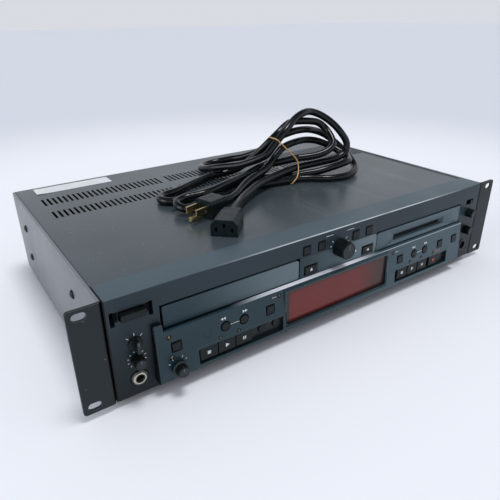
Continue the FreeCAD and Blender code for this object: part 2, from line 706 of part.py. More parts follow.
def slot_flap():
    """Hinged shutter behind the slot's mouth, on a pin at its upper edge."""
    half = THROAT_WIDTH / 2 + 0.5
    along = Vector(1, 0, 0)
    pin = Part.makeCylinder(FLAP_PIN, 2 * half + 4.6, Vector(SLOT_X - half - 2.3, FLAP_Y, FLAP_Z), along)
    barrel = Part.makeCylinder(1.2, 2 * half, Vector(SLOT_X - half, FLAP_Y, FLAP_Z), along)
    front = SURROUND_DEPTH + 0.5
    leaf = box(SLOT_X - half, SLOT_X + half, front, front + FLAP_THICKNESS, THROAT_BOTTOM - 0.4, FLAP_Z)
    return join(pin, barrel, leaf)


def display_window():
    """Smoked lens set back in the fascia, with a flange behind its frame."""
    x = (WINDOW_LEFT + WINDOW_RIGHT) / 2
    z = (WINDOW_BOTTOM + WINDOW_TOP) / 2
    width = WINDOW_RIGHT - WINDOW_LEFT
    height = WINDOW_TOP - WINDOW_BOTTOM
    back = LENS_FACE + LENS_THICKNESS
    lens = rounded_bar(x, z, width - 0.2, height - 0.2, WINDOW_CORNER - 0.1, LENS_FACE, back)
    flange = box(WINDOW_LEFT - 1.5, WINDOW_RIGHT + 1.5, back, back + 1, WINDOW_BOTTOM - 1.5, WINDOW_TOP + 1.5)
    return join(lens, flange)


def lamp(x, z):
    """Round-ended lamp that stands on the board and reaches through the fascia."""
    face = fascia_face(z)
    return turned(x, z, [(0, face - 0.4), (LAMP_RADIUS * 0.7, face - 0.4), (LAMP_RADIUS, face + 0.1),
                         (LAMP_RADIUS, BOARD_FACE), (0, BOARD_FACE)])


def display_board():
    """Front circuit board with the display tube, the lamps and the switches behind the keys."""
    half = FASCIA_HALF - WALL - 0.8
    board = box(-half, half, BOARD_FACE, BOARD_FACE + BOARD_THICKNESS, 8.4, 46.0)
    tube = box(WINDOW_LEFT + 8, WINDOW_RIGHT - 8, 0.5, BOARD_FACE, 15.5, 42.5)
    pieces = [board, tube] + [lamp(x, z) for x, z in LAMPS]
    switches = [(x, z) for name, x, z, width, height, corner in FASCIA_KEYS]
    switches += [(x, TRANSPORT_Z) for name, x, width in CD_TRANSPORT + MD_TRANSPORT]
    switches += [(x, z) for name, x, z in TROUGH_ROUND_KEYS]
    for x, z in switches:
        body = box(x - 3, x + 3, BOARD_FACE - 0.7, BOARD_FACE, z - 3, z + 3)
        pieces.append(body)
    return join(*pieces)


def plain_knob(x, z, radius, reach, rear, shaft_radius=SHAFT_RADIUS, edge=0.6):
    """Turned knob with a softened front edge, a shallow end face and its shaft."""
    front = -reach
    foot = radius * 1.06
    return turned(x, z, [
        (0, front + 0.3), (radius * 0.72, front + 0.3), (radius * 0.8, front), (radius - edge, front),
        (radius, front + edge), (foot, rear - 1.2), (foot, rear), (shaft_radius, rear),
        (shaft_radius, SHAFT_END), (0, SHAFT_END)])


def phones_selector():
    """Round base with a raised grip bar, turned to one of three places."""
    base = turned(LEFT_COLUMN, SELECTOR_Z, [(0, -1.8), (SELECTOR_DISC - 0.4, -1.8), (SELECTOR_DISC, -1.4),
                                            (SELECTOR_DISC, -KNOB_GAP), (SHAFT_RADIUS, -KNOB_GAP),
                                            (SHAFT_RADIUS, SHAFT_END), (0, SHAFT_END)])
    length = 2 * SELECTOR_DISC - 0.6
    grip = rounded_bar(LEFT_COLUMN, SELECTOR_Z, SELECTOR_BAR, length, 1.1, -SELECTOR_REACH, -1.5)
    return join(base, grip)


def pitch_shaft():
    """Push rod of the pitch control, which slides in when its knob is pressed."""
    stem = rod(PITCH_X, PITCH_Z, PITCH_SHAFT, -PITCH_REACH + 3, STEM_END)
    collar = rod(PITCH_X, PITCH_Z, PITCH_SHAFT + 1.6, fascia_face(PITCH_Z + 4) + WALL + 0.4, -1.5)
    return join(stem, collar)


def pitch_knob():
    """Skirted knob turned on the push rod, clear of the fascia when pressed."""
    rear = fascia_face(PITCH_Z - PITCH_SKIRT) - 0.3 - KEY_TRAVEL
    front = -PITCH_REACH
    bore = PITCH_SHAFT + RUNNING_FIT
    bore_end = front + 3 - RUNNING_FIT
    return turned(PITCH_X, PITCH_Z, [
        (0, front), (PITCH_RADIUS - 0.9, front), (PITCH_RADIUS, front + 0.9),
        (PITCH_RADIUS * 1.04, rear - 2.4), (PITCH_SKIRT, rear - 1.8), (PITCH_SKIRT, rear),
        (bore, rear), (bore, bore_end), (0, bore_end)])


def input_switch():
    """Slide switch: a small lever on a plate that closes the slot behind it."""
    x = RIGHT_COLUMN + 1.7
    lever = rounded_bar(x, SWITCH_Z, 3.0, 4.4, 0.4, -1.2, BEZEL_WALL + 0.5)
    plate = box(x - 10, x + 10, BEZEL_WALL + 0.3, BEZEL_WALL + 1.3, SWITCH_Z - 4, SWITCH_Z + 4)
    return join(lever, plate)


def power_button():
    back = BEZEL_WALL + POWER_TRAVEL
    cap = rounded_bar(POWER_X, POWER_Z, POWER_WIDTH, POWER_HEIGHT, 0.5, -POWER_PROUD, back)
    rim = [edge for edge in cap.Edges if abs(edge.BoundBox.YMax + POWER_PROUD) < 1e-6]
    cap = cap.makeChamfer(0.4, rim)
    flange = rounded_bar(POWER_X, POWER_Z, POWER_WIDTH + 4, POWER_HEIGHT + 4, 0.5,
                         BEZEL_WALL + 0.3, BEZEL_WALL + 1.8)
    stem = rounded_bar(POWER_X, POWER_Z, 6, 3, 0.4, back - 1, 16)
    return join(cap, flange, stem)


def phones_jack():
    """Panel jack: nut, bush and body round one bore."""
    bush = turned(LEFT_COLUMN, JACK_Z, [
        (0, -JACK_REACH), (JACK_RING - 0.4, -JACK_REACH), (JACK_RING, -JACK_REACH + 0.4), (JACK_RING, -1.0),
        (JACK_BUSH - 0.3, -1.0), (JACK_BUSH, -0.7), (JACK_BUSH, BEZEL_WALL + 0.5), (0, BEZEL_WALL + 0.5)])
    body = box(LEFT_COLUMN - 6.5, LEFT_COLUMN + 6.5, BEZEL_WALL, JACK_DEPTH + 2, JACK_Z - 6.5, JACK_Z + 6.5)
    bore = rod(LEFT_COLUMN, JACK_Z, JACK_BORE, -JACK_REACH - 1, JACK_DEPTH)
    return join(bush, body).cut(bore)


def keyboard_socket():
    """Round socket in a flanged shell, with a square body behind the panel."""
    shell = turned(RIGHT_COLUMN, SOCKET_Z, [
        (0, -0.8), (SOCKET_FLANGE - 0.4, -0.8), (SOCKET_FLANGE, -0.4), (SOCKET_FLANGE, 0),
        (SOCKET_BODY, 0), (SOCKET_BODY, BEZEL_WALL + 0.5), (0, BEZEL_WALL + 0.5)])
    body = box(RIGHT_COLUMN - 7, RIGHT_COLUMN + 7, BEZEL_WALL, 14, SOCKET_Z - 7, SOCKET_Z + 7)
    cavity = rod(RIGHT_COLUMN, SOCKET_Z, SOCKET_CAVITY, -2, SOCKET_DEPTH)
    return join(shell, body).cut(cavity)


def tray_well(radius, bottom):
    return post(TRAY_X, DISC_Y, radius, bottom, BED_TOP + 1)


def cd_tray():
    """Tray with its front, two disc recesses and an opening for turntable and pickup."""
    left = TRAY_X - TRAY_WIDTH / 2
    right = TRAY_X + TRAY_WIDTH / 2
    front = along_y([(left, TRAY_BOTTOM, 0.5), (right, TRAY_BOTTOM, 0.8), (right, TRAY_TOP, DIVIDER_CORNER),
                     (left, TRAY_TOP, 0.5)], 0, TRAY_FRONT_THICKNESS)
    rim = [edge for edge in front.Edges if abs(edge.BoundBox.YMax) < 1e-6]
    front = front.makeChamfer(0.3, rim)
    half = BED_WIDTH / 2
    start = TRAY_FRONT_THICKNESS - 0.5
    bed = along_z([(TRAY_X - half, start, 0), (TRAY_X + half, start, 0), (TRAY_X + half, BED_END, 4),
                   (TRAY_X - half, BED_END, 4)], BED_BOTTOM, BED_TOP)
    large = tray_well(DISC_RADIUS + DISC_CLEARANCE, BED_TOP - 1.8)
    small = tray_well(SMALL_DISC_RADIUS + DISC_CLEARANCE, BED_TOP - 2.8)
    opening = along_z([(TRAY_X - 18, DISC_Y - 20, 17.9), (TRAY_X + 18, DISC_Y - 20, 17.9),
                       (TRAY_X + 18, DISC_Y + 58, 6), (TRAY_X - 18, DISC_Y + 58, 6)], BED_BOTTOM - 1, BED_TOP)
    notch_width = 16
    notches = [box(TRAY_X + side * half - notch_width / 2, TRAY_X + side * half + notch_width / 2,
                   DISC_Y - 14, DISC_Y + 14, BED_TOP - 1.8, BED_TOP + 1) for side in (-1, 1)]
    return join(front, bed).cut([large, small, opening] + notches)


def cd_mechanism():
    """Loader frame: guide walls with runners, clamp bridge, spindle motor and four legs."""
    inner = BED_WIDTH / 2 + GUIDE_GAP
    outer = inner + GUIDE_WALL
    left = TRAY_X - outer
    right = TRAY_X + outer
    base = box(left, right, GUIDE_FRONT, GUIDE_BACK, GUIDE_BASE, GUIDE_BASE + 2)
    pieces = [base, box(left, right, GUIDE_BACK - GUIDE_WALL, GUIDE_BACK, GUIDE_BASE, GUIDE_TOP)]
    for side in (-1, 1):
        wall_out = TRAY_X + side * outer
        wall_in = TRAY_X + side * inner
        pieces.append(box(min(wall_out, wall_in), max(wall_out, wall_in), GUIDE_FRONT, GUIDE_BACK,
                          GUIDE_BASE, GUIDE_TOP))
        rail_in = TRAY_X + side * (inner - 4)
        pieces.append(box(min(wall_in, rail_in), max(wall_in, rail_in), GUIDE_FRONT, GUIDE_BACK,
                          BED_BOTTOM - RUNNER_GAP - 2.4, BED_BOTTOM - RUNNER_GAP))
        lip_in = TRAY_X + side * (inner - 2)
        pieces.append(box(min(wall_in, lip_in), max(wall_in, lip_in), GUIDE_FRONT, GUIDE_BACK,
                          BED_TOP + RUNNER_GAP, BED_TOP + RUNNER_GAP + 2))
        for y in (GUIDE_FRONT + 8, GUIDE_BACK - 8):
            pieces.append(post(TRAY_X + side * (inner - 6), y, 4, PAN_BOTTOM + PAN_SHEET, GUIDE_BASE + 1))
    pieces.append(box(left, right, DISC_Y - 10, DISC_Y + 10, GUIDE_TOP - 1, GUIDE_TOP + 1.5))
    pieces.append(post(TRAY_X, DISC_Y, 13, BED_TOP + 3, GUIDE_TOP))
    pieces.append(post(TRAY_X, DISC_Y, 12, GUIDE_BASE + 1, 44))
    frame = join(*pieces)
    return frame.cut(post(TRAY_X, DISC_Y, SPINDLE_RADIUS + RUNNING_FIT, 34, 46))


def cd_spindle():
    """Turntable with its centring cone, on the motor's shaft."""
    top = BED_BOTTOM - 0.6
    profile = [Vector(0, 0, top), Vector(3.5, 0, top), Vector(7.4, 0, top - 2.2),
               Vector(TURNTABLE_RADIUS, 0, top - 2.2), Vector(TURNTABLE_RADIUS, 0, top - 4.4),
               Vector(4, 0, top - 4.4), Vector(4, 0, 44.3),
               Vector(SPINDLE_RADIUS, 0, 44.3), Vector(SPINDLE_RADIUS, 0, 34.5), Vector(0, 0, 34.5)]
    wire = Part.makePolygon(profile + [profile[0]])
    hub = Part.Face(wire).revolve(Vector(0, 0, 0), Vector(0, 0, 1), 360)
    hub.translate(Vector(TRAY_X, DISC_Y, 0))
    return hub


def md_mechanism():
    """Closed loader with one flat space for a cartridge, open to the front, on four legs."""
    half = CARTRIDGE_WIDTH / 2 + 5
    middle = (THROAT_BOTTOM + THROAT_TOP) / 2
    low = 40.0
    body = box(SLOT_X - half, SLOT_X + half, CARRIAGE_FRONT, CARRIAGE_BACK, low, 74)
    space = box(SLOT_X - CARTRIDGE_WIDTH / 2, SLOT_X + CARTRIDGE_WIDTH / 2, CARRIAGE_FRONT - 1,
                CARRIAGE_FRONT + CARRIAGE_DEPTH, middle - CARTRIDGE_SPACE / 2, middle + CARTRIDGE_SPACE / 2)
    legs = [post(SLOT_X + x, y, 4, PAN_BOTTOM + PAN_SHEET, low + 1)
            for x in (8 - half, half - 8) for y in (CARRIAGE_FRONT + 10, CARRIAGE_BACK - 10)]
    motor = post(SLOT_X - 20, CARRIAGE_BACK - 24, 11, 26, low + 1)
    return join(body, motor, *legs).cut(space)


def main_board():
    """Signal board on stand-offs, with converters, capacitors and a heat sink."""
    bottom = 8.0
    left, right, front, back = -30, 200, 165, REAR_PANEL - 14
    board = box(left, right, front, back, bottom, bottom + BOARD_THICKNESS)
    top = bottom + BOARD_THICKNESS
    pieces = [board]
    for x in (left + 8, (left + right) / 2, right - 8):
        for y in (front + 8, back - 8):
            pieces.append(post(x, y, 3, PAN_BOTTOM + PAN_SHEET, bottom))
    for x, y, size in ((20, 195, 22), (70, 200, 28), (130, 205, 20)):
        pieces.append(box(x, x + size, y, y + size, top, top + 3))
    for number in range(6):
        pieces.append(post(10 + 18 * number, 245, 5, top, top + 14))
    sink_left = 165
    pieces.append(box(sink_left, sink_left + 30, 190, 193, top, top + 32))
    for number in range(5):
        pieces.append(box(sink_left + 6 * number, sink_left + 6 * number + 2, 193, 203, top, top + 32))
    return join(*pieces)


def power_supply():
    """Supply board with the mains transformer and its smoothing capacitors."""
    bottom = 8.0
    left, right, front, back = -165, -50, 196, REAR_PANEL - 14
    top = bottom + BOARD_THICKNESS
    pieces = [box(left, right, front, back, bottom, top)]
    for x in (left + 7, right - 7):
        for y in (front + 7, back - 7):
            pieces.append(post(x, y, 3, PAN_BOTTOM + PAN_SHEET, bottom))
    core_left = left + 12
    core = box(core_left, core_left + 52, front + 12, front + 56, top, top + 40)
    coil = along_y([(core_left + 9, top + 7, 3), (core_left + 43, top + 7, 3),
                    (core_left + 43, top + 33, 3), (core_left + 9, top + 33, 3)], front + 5, front + 63)
    pieces += [core, coil]
    for number in range(3):
        pieces.append(post(right - 32, front + 14 + 20 * number, 8, top, top + 26))
    return join(*pieces)


def rear_openings():
    """Plugs' places in the rear panel: sockets and mains inlet."""
    front = REAR_PANEL - 2
    back = REAR_PANEL + 5
    holes = [box(INLET_X - 14.2, INLET_X + 14.2, front, back, INLET_Z - 10.2, INLET_Z + 10.2)]
    for x, z in PHONO_PLACES:
        holes.append(rod(x, z, PHONO_RADIUS + 0.2, front, back))
    for x in OPTICAL_PLACES:
        holes.append(box(x - 6.2, x + 6.2, front, back, PHONO_LOW - 6.2, PHONO_LOW + 6.2))
    holes.append(box(REMOTE_X - 12.2, REMOTE_X + 12.2, front, back, PHONO_LOW - 5.7, PHONO_LOW + 5.7))
    return holes


# Sockets of the rear panel
PHONO_RADIUS = 4.2
PHONO_LOW = 30.0
PHONO_RISE = 20.0
PHONO_COLUMNS = [60, 78, 110, 128, 160, 178]
PHONO_PLACES = [(x, PHONO_LOW + rise) for x in PHONO_COLUMNS for rise in (0, PHONO_RISE)]
OPTICAL_PLACES = [0, 24]
REMOTE_X = -52.0


def rear_panel():
    """Back of the case, with a folded top edge that the cover rests on."""
    half = BODY_WIDTH / 2 - PLATE_THICKNESS - SHEET_GAP - SHEET - 0.3 - PAN_SHEET - 0.2
    panel = box(-half, half, REAR_PANEL, REAR_PANEL + PAN_SHEET, PAN_BOTTOM, REAR_PANEL_TOP)
    fold = box(-half, half, REAR_PANEL - 10, REAR_PANEL + 0.5, REAR_PANEL_TOP - PAN_SHEET, REAR_PANEL_TOP)
    return join(panel, fold).cut(rear_openings())


def rear_sockets():
    """Phono sockets in pairs, two optical sockets and the remote connector."""
    back = REAR_PANEL + PAN_SHEET
    solids = []
    for x, z in PHONO_PLACES:
        barrel = turned(x, z, [(0, back - 12), (PHONO_RADIUS, back - 12), (PHONO_RADIUS, REAR_REACH),
                               (1.6, REAR_REACH), (1.6, back + 1), (0, back + 1)])
        solids.append(barrel)
    for x in OPTICAL_PLACES:
        body = box(x - 6, x + 6, back - 10, back + 4, PHONO_LOW - 6, PHONO_LOW + 6)
        solids.append(body.cut(box(x - 3, x + 3, back - 2, back + 5, PHONO_LOW - 3, PHONO_LOW + 3)))
    shell = along_y([(REMOTE_X - 12, PHONO_LOW + 5.5, 2), (REMOTE_X + 12, PHONO_LOW + 5.5, 2),
                     (REMOTE_X + 10.5, PHONO_LOW - 5.5, 2), (REMOTE_X - 10.5, PHONO_LOW - 5.5, 2)],
                    back - 10, back + 6)
    socket = along_y([(REMOTE_X - 8.5, PHONO_LOW + 4.2, 1.5), (REMOTE_X + 8.5, PHONO_LOW + 4.2, 1.5),
                      (REMOTE_X + 7.3, PHONO_LOW - 4.2, 1.5), (REMOTE_X - 7.3, PHONO_LOW - 4.2, 1.5)],
                     back + 0.5, back + 7)
    solids.append(shell.cut(socket))
    return solids


def mains_inlet():
    """Three-pin appliance inlet: shroud, flange and pins."""
    back = REAR_PANEL + PAN_SHEET
    flange = rounded_bar(INLET_X, INLET_Z, 31, 24, 2, back, back + 2)
    body = rounded_bar(INLET_X, INLET_Z, 28, 20, 2, back - 18, back + 1)
    shape = [(-12.2, -8.2, 1), (12.2, -8.2, 1), (12.2, 4, 0.5), (8, 8.2, 0.5), (-8, 8.2, 0.5), (-12.2, 4, 0.5)]
    corners = [(INLET_X + x, INLET_Z + z, radius) for x, z, radius in shape]
    cavity = along_y(corners, back - 15, back + 3)
    pins = []
    for across, up in ((0, 2.5), (-7, -1.5), (7, -1.5)):
        x = INLET_X + across
        z = INLET_Z + up
        pins.append(box(x - 1, x + 1, back - 16, back - 4, z - 2, z + 2))
    return join(join(flange, body).cut(cavity), *pins)


# Mains lead lying on the cover
CABLE_RADIUS = 4.1
CONNECTOR_PLACE = (-92.0, 45.0, 44.6)
CONNECTOR_LENGTH = 58.0
CABLE_RUN = 22.0
PLUG_PLACE = (-84.0, 93.0, 74.0)
HANK_SECTIONS = [
    (-109.0, 110.0, 172.0, 14.0),
    (-64.0, 110.0, 182.0, 18.0),
    (-50.0, 97.0, 186.0, 22.0),
    (-24.0, 103.0, 204.0, 26.0),
    (-17.0, 106.0, 236.0, 28.0),
    (16.0, 118.0, 247.0, 40.0),
    (50.0, 112.0, 208.0, 72.0),
    (100.0, 94.0, 176.0, 76.0),
    (148.0, 112.0, 148.0, 44.0),
]


def flat_sided(rings):
    """Solid skinned with flat triangles from one ring of points to the next."""
    faces = []
    for first, second in zip(rings, rings[1:]):
        count = len(first)
        for index in range(count):
            after = (index + 1) % count
            for points in ((first[index], first[after], second[after]),
                           (first[index], second[after], second[index])):
                faces.append(Part.Face(Part.makePolygon(list(points) + [points[0]])))
    for ring in (rings[0], rings[-1]):
        faces.append(Part.Face(Part.makePolygon(ring + [ring[0]])))
    solid = Part.Solid(Part.Shell(faces))
    if solid.Volume < 0:
        solid.reverse()
    return solid


def lead_hank():
    """Outer form of the tied turns of the lead: low at the left, standing up at the right."""
    rings = []
    for x, front, back, height in HANK_SECTIONS:
        crown = 0.25 * (back - front)
        top = COVER_TOP + height
        shoulder = COVER_TOP + 0.5 * height
        rings.append([Vector(x, front, COVER_TOP), Vector(x, back, COVER_TOP),
                      Vector(x, back, shoulder), Vector(x, back - crown, top),
                      Vector(x, front + crown, top), Vector(x, front, shoulder)])
    return flat_sided(rings)


def laid_down(shape, place):
    """Turn a piece drawn along y about the vertical and lay it on the cover."""
    x, y, turn = place
    shape.rotate(Vector(0, 0, 0), Vector(0, 0, 1), -turn)
    shape.translate(Vector(x, y, COVER_TOP))
    return shape


def lead_connector():
    """Appliance connector of the lead, lying on the cover."""
    body = along_y([(-12, 0, 1), (12, 0, 1), (12, 11, 1), (8, 15.4, 1), (-8, 15.4, 1), (-12, 11, 1)], 0, 26)
    collar = along_y([(-9, 1.5, 2), (9, 1.5, 2), (9, 14, 2), (-9, 14, 2)], 25, 36)
    relief = turned(0, 8, [(0, 35), (5.4, 35), (4.4, CONNECTOR_LENGTH), (0, CONNECTOR_LENGTH)])
    pin_holes = [box(x - 1.1, x + 1.1, -1, 14, z - 2.1, z + 2.1) for x, z in ((0, 10.2), (-7, 6.2), (7, 6.2))]
    return laid_down(join(body, collar, relief).cut(pin_holes), CONNECTOR_PLACE)


def lead_cable():
    """Straight stretch of the lead, from the connector to the hank."""
    cable = rod(0, 8, CABLE_RADIUS, CONNECTOR_LENGTH, CONNECTOR_LENGTH + CABLE_RUN)
    return laid_down(cable, CONNECTOR_PLACE)


def lead_plug():
    """Mains plug of the lead, with two blades and an earth pin."""
    body = along_y([(-11, 0, 3), (11, 0, 3), (11, 18, 3), (-11, 18, 3)], 0, 20)
    relief = turned(0, 9, [(0, 19), (5.6, 19), (4.6, 36), (0, 36)])
    blades = [box(x - 0.75, x + 0.75, -17, 1, 8, 14.4) for x in (-6.35, 6.35)]
    pin = rod(0, 4.4, 2.4, -19, 1)
    return laid_down(join(body, relief, pin, *blades), PLUG_PLACE)


def main():
    os.makedirs("parts", exist_ok=True)
    plate = right_side_plate()
    save("right_side_plate", plate)
    save("left_side_plate", mirrored(plate))
    save("top_cover", top_cover())
    save("chassis_pan", chassis_pan())
    save("rear_panel", rear_panel())
    save("case_screws", *screws())
    save("feet", *feet())
    save("front_bezel", front_bezel())
    save("control_fascia", control_fascia())
    save("slot_surround", slot_surround())
    save("slot_flap", slot_flap())
    save("display_window", display_window())
    save("display_board", display_board())
    for name, x, z, width, height, corner in FASCIA_KEYS:
        back = fascia_face(z + height / 2 + FLANGE) + WALL
        save(name, key(x, z, width, height, corner, fascia_face(z) - KEY_PROUD, back))
    for name, x, width in CD_TRANSPORT + MD_TRANSPORT:
        save(name, key(x, TRANSPORT_Z, width, TRANSPORT_HEIGHT, 0.5, TRANSPORT_FACE, TROUGH_FLOOR + 2, False))
    for name, x, z in TROUGH_ROUND_KEYS:
        save(name, key(x, z, ROUND_KEY, ROUND_KEY, ROUND_KEY / 2, TROUGH_ROUND_FACE, TROUGH_FLOOR + 2))
    for name, x in STRIP_KEYS:
        save(name, key(x, STRIP_Z, STRIP_KEY_WIDTH, STRIP_KEY_HEIGHT, SQUARE_CORNER, -KEY_PROUD, BEZEL_WALL))
    for name, x in DOOR_KEYS:
        save(name, key(x, DOOR_KEY_Z, DOOR_KEY_WIDTH, DOOR_KEY_HEIGHT, SQUARE_CORNER, -DOOR_KEY_PROUD, WALL))
    dial = plain_knob(DIAL_X, DIAL_Z, DIAL_RADIUS, DIAL_REACH, -KNOB_GAP, SHAFT_RADIUS + 0.5, 0.8)
    save("multi_dial", dial)
    save("phones_selector", phones_selector())
    save("phones_level_knob", plain_knob(LEFT_COLUMN, LEVEL_Z, LEVEL_RADIUS, LEVEL_REACH, -KNOB_GAP))
    for name, z in INPUT_KNOB_HEIGHTS:
        save(name, plain_knob(RIGHT_COLUMN, z, INPUT_KNOB_RADIUS, INPUT_KNOB_REACH, -KNOB_GAP))
    save("pitch_shaft", pitch_shaft())
    save("pitch_knob", pitch_knob())
    save("input_switch", input_switch())
    save("power_button", power_button())
    save("phones_jack", phones_jack())
    save("keyboard_socket", keyboard_socket())
    save("cd_tray", cd_tray())
    save("cd_mechanism", cd_mechanism())
    save("cd_spindle", cd_spindle())
    save("md_mechanism", md_mechanism())
    save("main_board", main_board())
    save("power_supply", power_supply())
    save("rear_sockets", *rear_sockets())
    save("mains_inlet", mains_inlet())
    save("lead_hank", lead_hank())
    save("lead_cable", lead_cable())
    save("lead_connector", lead_connector())
    save("lead_plug", lead_plug())


main()
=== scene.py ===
"""Looks of a rack-mounted deck for minidiscs and compact discs, its mains lead lying on the cover.

Places are written in millimetres from the middle of the rack face: x to the right, y towards the
back and z up from the lower edge of the front panel. at() moves them into the frame, in metres.
"""

import json
import math

import bmesh
import bpy
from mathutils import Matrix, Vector


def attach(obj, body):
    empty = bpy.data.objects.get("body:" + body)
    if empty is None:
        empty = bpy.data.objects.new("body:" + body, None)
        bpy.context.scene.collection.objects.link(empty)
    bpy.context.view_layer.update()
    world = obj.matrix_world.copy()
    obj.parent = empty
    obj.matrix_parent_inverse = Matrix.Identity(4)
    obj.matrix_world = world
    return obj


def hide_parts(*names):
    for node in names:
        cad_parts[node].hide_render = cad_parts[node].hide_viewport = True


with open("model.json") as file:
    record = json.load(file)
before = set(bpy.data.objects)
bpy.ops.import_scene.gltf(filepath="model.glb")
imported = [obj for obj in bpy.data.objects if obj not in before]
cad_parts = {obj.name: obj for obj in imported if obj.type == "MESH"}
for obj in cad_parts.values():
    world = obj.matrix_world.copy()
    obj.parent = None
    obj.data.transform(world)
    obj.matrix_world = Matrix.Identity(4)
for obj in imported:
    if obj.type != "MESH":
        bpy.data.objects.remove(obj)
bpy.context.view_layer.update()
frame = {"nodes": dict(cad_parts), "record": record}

MM = 0.001
ACROSS = (1, 0, 0)
DEEP = (0, 1, 0)
UP = (0, 0, 1)
FORWARD = (0, -1, 0)

# Case
PANEL_HEIGHT = 88.0
BODY_HALF = 219.0
BODY_DEPTH = 282.0
REAR_REACH = BODY_DEPTH + 9
FOOT_HEIGHT = 6.0
PLATE_THICKNESS = 2.3
BEZEL_HALF = BODY_HALF - PLATE_THICKNESS - 0.3
COVER_TOP = PANEL_HEIGHT - 1

# Fascia, and the band of plates above it
FASCIA_HALF = 184.2
FASCIA_BOTTOM = 5.6
LEDGE_Z = 49.7
SHOULDER_TOP = 57.0
SHOULDER_WIDTH = 7.0
PROUD_AT_LEDGE = 4.8
PROUD_AT_BOTTOM = 8.2
FACE_SLOPE = (PROUD_AT_BOTTOM - PROUD_AT_LEDGE) / (LEDGE_Z - FASCIA_BOTTOM)
BAND_TOP = 69.4
MIDDLE_LEFT = -43.2
MIDDLE_RIGHT = 52.2
WINDOW_LEFT = -62.4
WINDOW_RIGHT = 64.4
WINDOW_BOTTOM = 12.4
WINDOW_TOP = 45.4

# Knobs, sockets and the power button
LEFT_COLUMN = -197.4
RIGHT_COLUMN = 201.3
SELECTOR_Z = 46.8
SELECTOR_REACH = 8.0
LEVEL_Z = 32.6
LEVEL_REACH = 9.5
JACK_Z = 15.4
JACK_RING = 5.4
JACK_HOLE = 3.8
KEYBOARD_SOCKET_Z = 16.8
PITCH_X = -168.3
PITCH_Z = 17.2
PITCH_REACH = 17.5
DIAL_X = 2.7
DIAL_Z = 68.8
DIAL_REACH = 13.0
POWER_X = -196.6
POWER_Z = 72.2

# Keys
KEY_GAP = 0.4
SQUARE = 7.2
ROUND_KEY = 7.4
UPPER_ROW = 34.8
STRIP_Z = BAND_TOP + 6.3
STRIP_KEY_WIDTH = 7.0
STRIP_KEY_HEIGHT = 7.4
DOOR_KEY_Z = LEDGE_Z + 6.3
DOOR_KEY_WIDTH = 13.6
DOOR_KEY_HEIGHT = 7.4
DOOR_FACE = -1.0
TRANSPORT_FACE = -5.9
TRANSPORT_Z = 17.2

ORIGIN = Vector((0, (PITCH_REACH - REAR_REACH) / 2, FOOT_HEIGHT))


def at(x, y, z):
    """Point of the frame, in metres, for a place on the deck."""
    return (Vector((x, y, z)) + ORIGIN) * MM


def on_axis(way, value):
    """Metres along one axis of the frame, for a place on the deck."""
    return at(*(value * step for step in way))[way.index(1)]


def rack_face(z):
    """Face of the bezel, upright at every height."""
    return 0.0


def fascia_face(z):
    """Sloping face of the fascia at height z."""
    return -PROUD_AT_BOTTOM + (z - FASCIA_BOTTOM) * FACE_SLOPE


def flat_face(y):
    """Face of a key or knob that stands upright at y."""
    return lambda z: y


def linear(code):
    """Linear colour of one written as six hexadecimal digits."""
    channels = [int(code[i:i + 2], 16) / 255 for i in (0, 2, 4)]
    return tuple(c / 12.92 if c <= 0.04045 else ((c + 0.055) / 1.055) ** 2.4 for c in channels) + (1.0,)


# Camera of the photograph
CAMERA_PLACE = (-0.29098, -0.42428, 0.26642)
CAMERA_TURN = (1.12201, 0.0098, -0.60103)
CAMERA_LENS = 35.23
CAMERA_SENSOR = 36


def make_camera():
    data = bpy.data.cameras.new("camera")
    data.sensor_width = CAMERA_SENSOR
    data.lens = CAMERA_LENS
    data.clip_start = 0.01
    data.clip_end = 100
    camera = bpy.data.objects.new("camera", data)
    camera.location = CAMERA_PLACE
    camera.rotation_euler = CAMERA_TURN
    bpy.context.scene.collection.objects.link(camera)
    bpy.context.scene.camera = camera


class Nodes:
    """Shader nodes of a material or a sky, added step by step."""

    def __init__(self, tree):
        self.tree = tree

    def add(self, kind, **values):
        node = self.tree.nodes.new(kind)
        for key, value in values.items():
            setattr(node, key, value)
        return node

    def put(self, socket, value):
        """Link an output, or write a plain value."""
        if isinstance(value, bpy.types.NodeSocket):
            self.tree.links.new(value, socket)
        else:
            socket.default_value = value

    def math(self, operation, first, second=0.0):
        node = self.add("ShaderNodeMath", operation=operation)
        self.put(node.inputs[0], first)
        self.put(node.inputs[1], second)
        return node.outputs[0]

    def vectors(self, operation, first, second):
        node = self.add("ShaderNodeVectorMath", operation=operation)
        self.put(node.inputs[0], first)
        self.put(node.inputs[1], second)
        return node.outputs["Value" if operation == "DOT_PRODUCT" else "Vector"]

    def both(self, *masks):
        """1 only where all the masks are 1."""
        product = masks[0]
        for mask in masks[1:]:
            product = self.math("MULTIPLY", product, mask)
        return product

    def either(self, *masks):
        """1 where any of the masks is 1."""
        largest = masks[0]
        for mask in masks[1:]:
            largest = self.math("MAXIMUM", largest, mask)
        return largest

    def ramp(self, value, low, high, start=0.0, end=1.0):
        """From start to end, eased, as the value goes from low to high."""
        node = self.add("ShaderNodeMapRange", interpolation_type="SMOOTHSTEP")
        for name, number in (("From Min", low), ("From Max", high), ("To Min", start), ("To Max", end)):
            node.inputs[name].default_value = number
        self.put(node.inputs["Value"], value)
        return node.outputs["Result"]

    def mix(self, kind, mask, first, second):
        """First value where the mask is 0, and the second where it is 1."""
        node = self.add("ShaderNodeMix", data_type=kind)
        for name, value in (("Factor", mask), ("A", first), ("B", second)):
            self.put(node.inputs[name], value)
        return node.outputs["Result"]


# Noise values at which a patch begins and is whole
PATCH_LOW = 0.35
PATCH_HIGH = 0.7
# Black of the painted shade in the gaps beside the left ear
GAP_SHADE_BLACK = "050708"


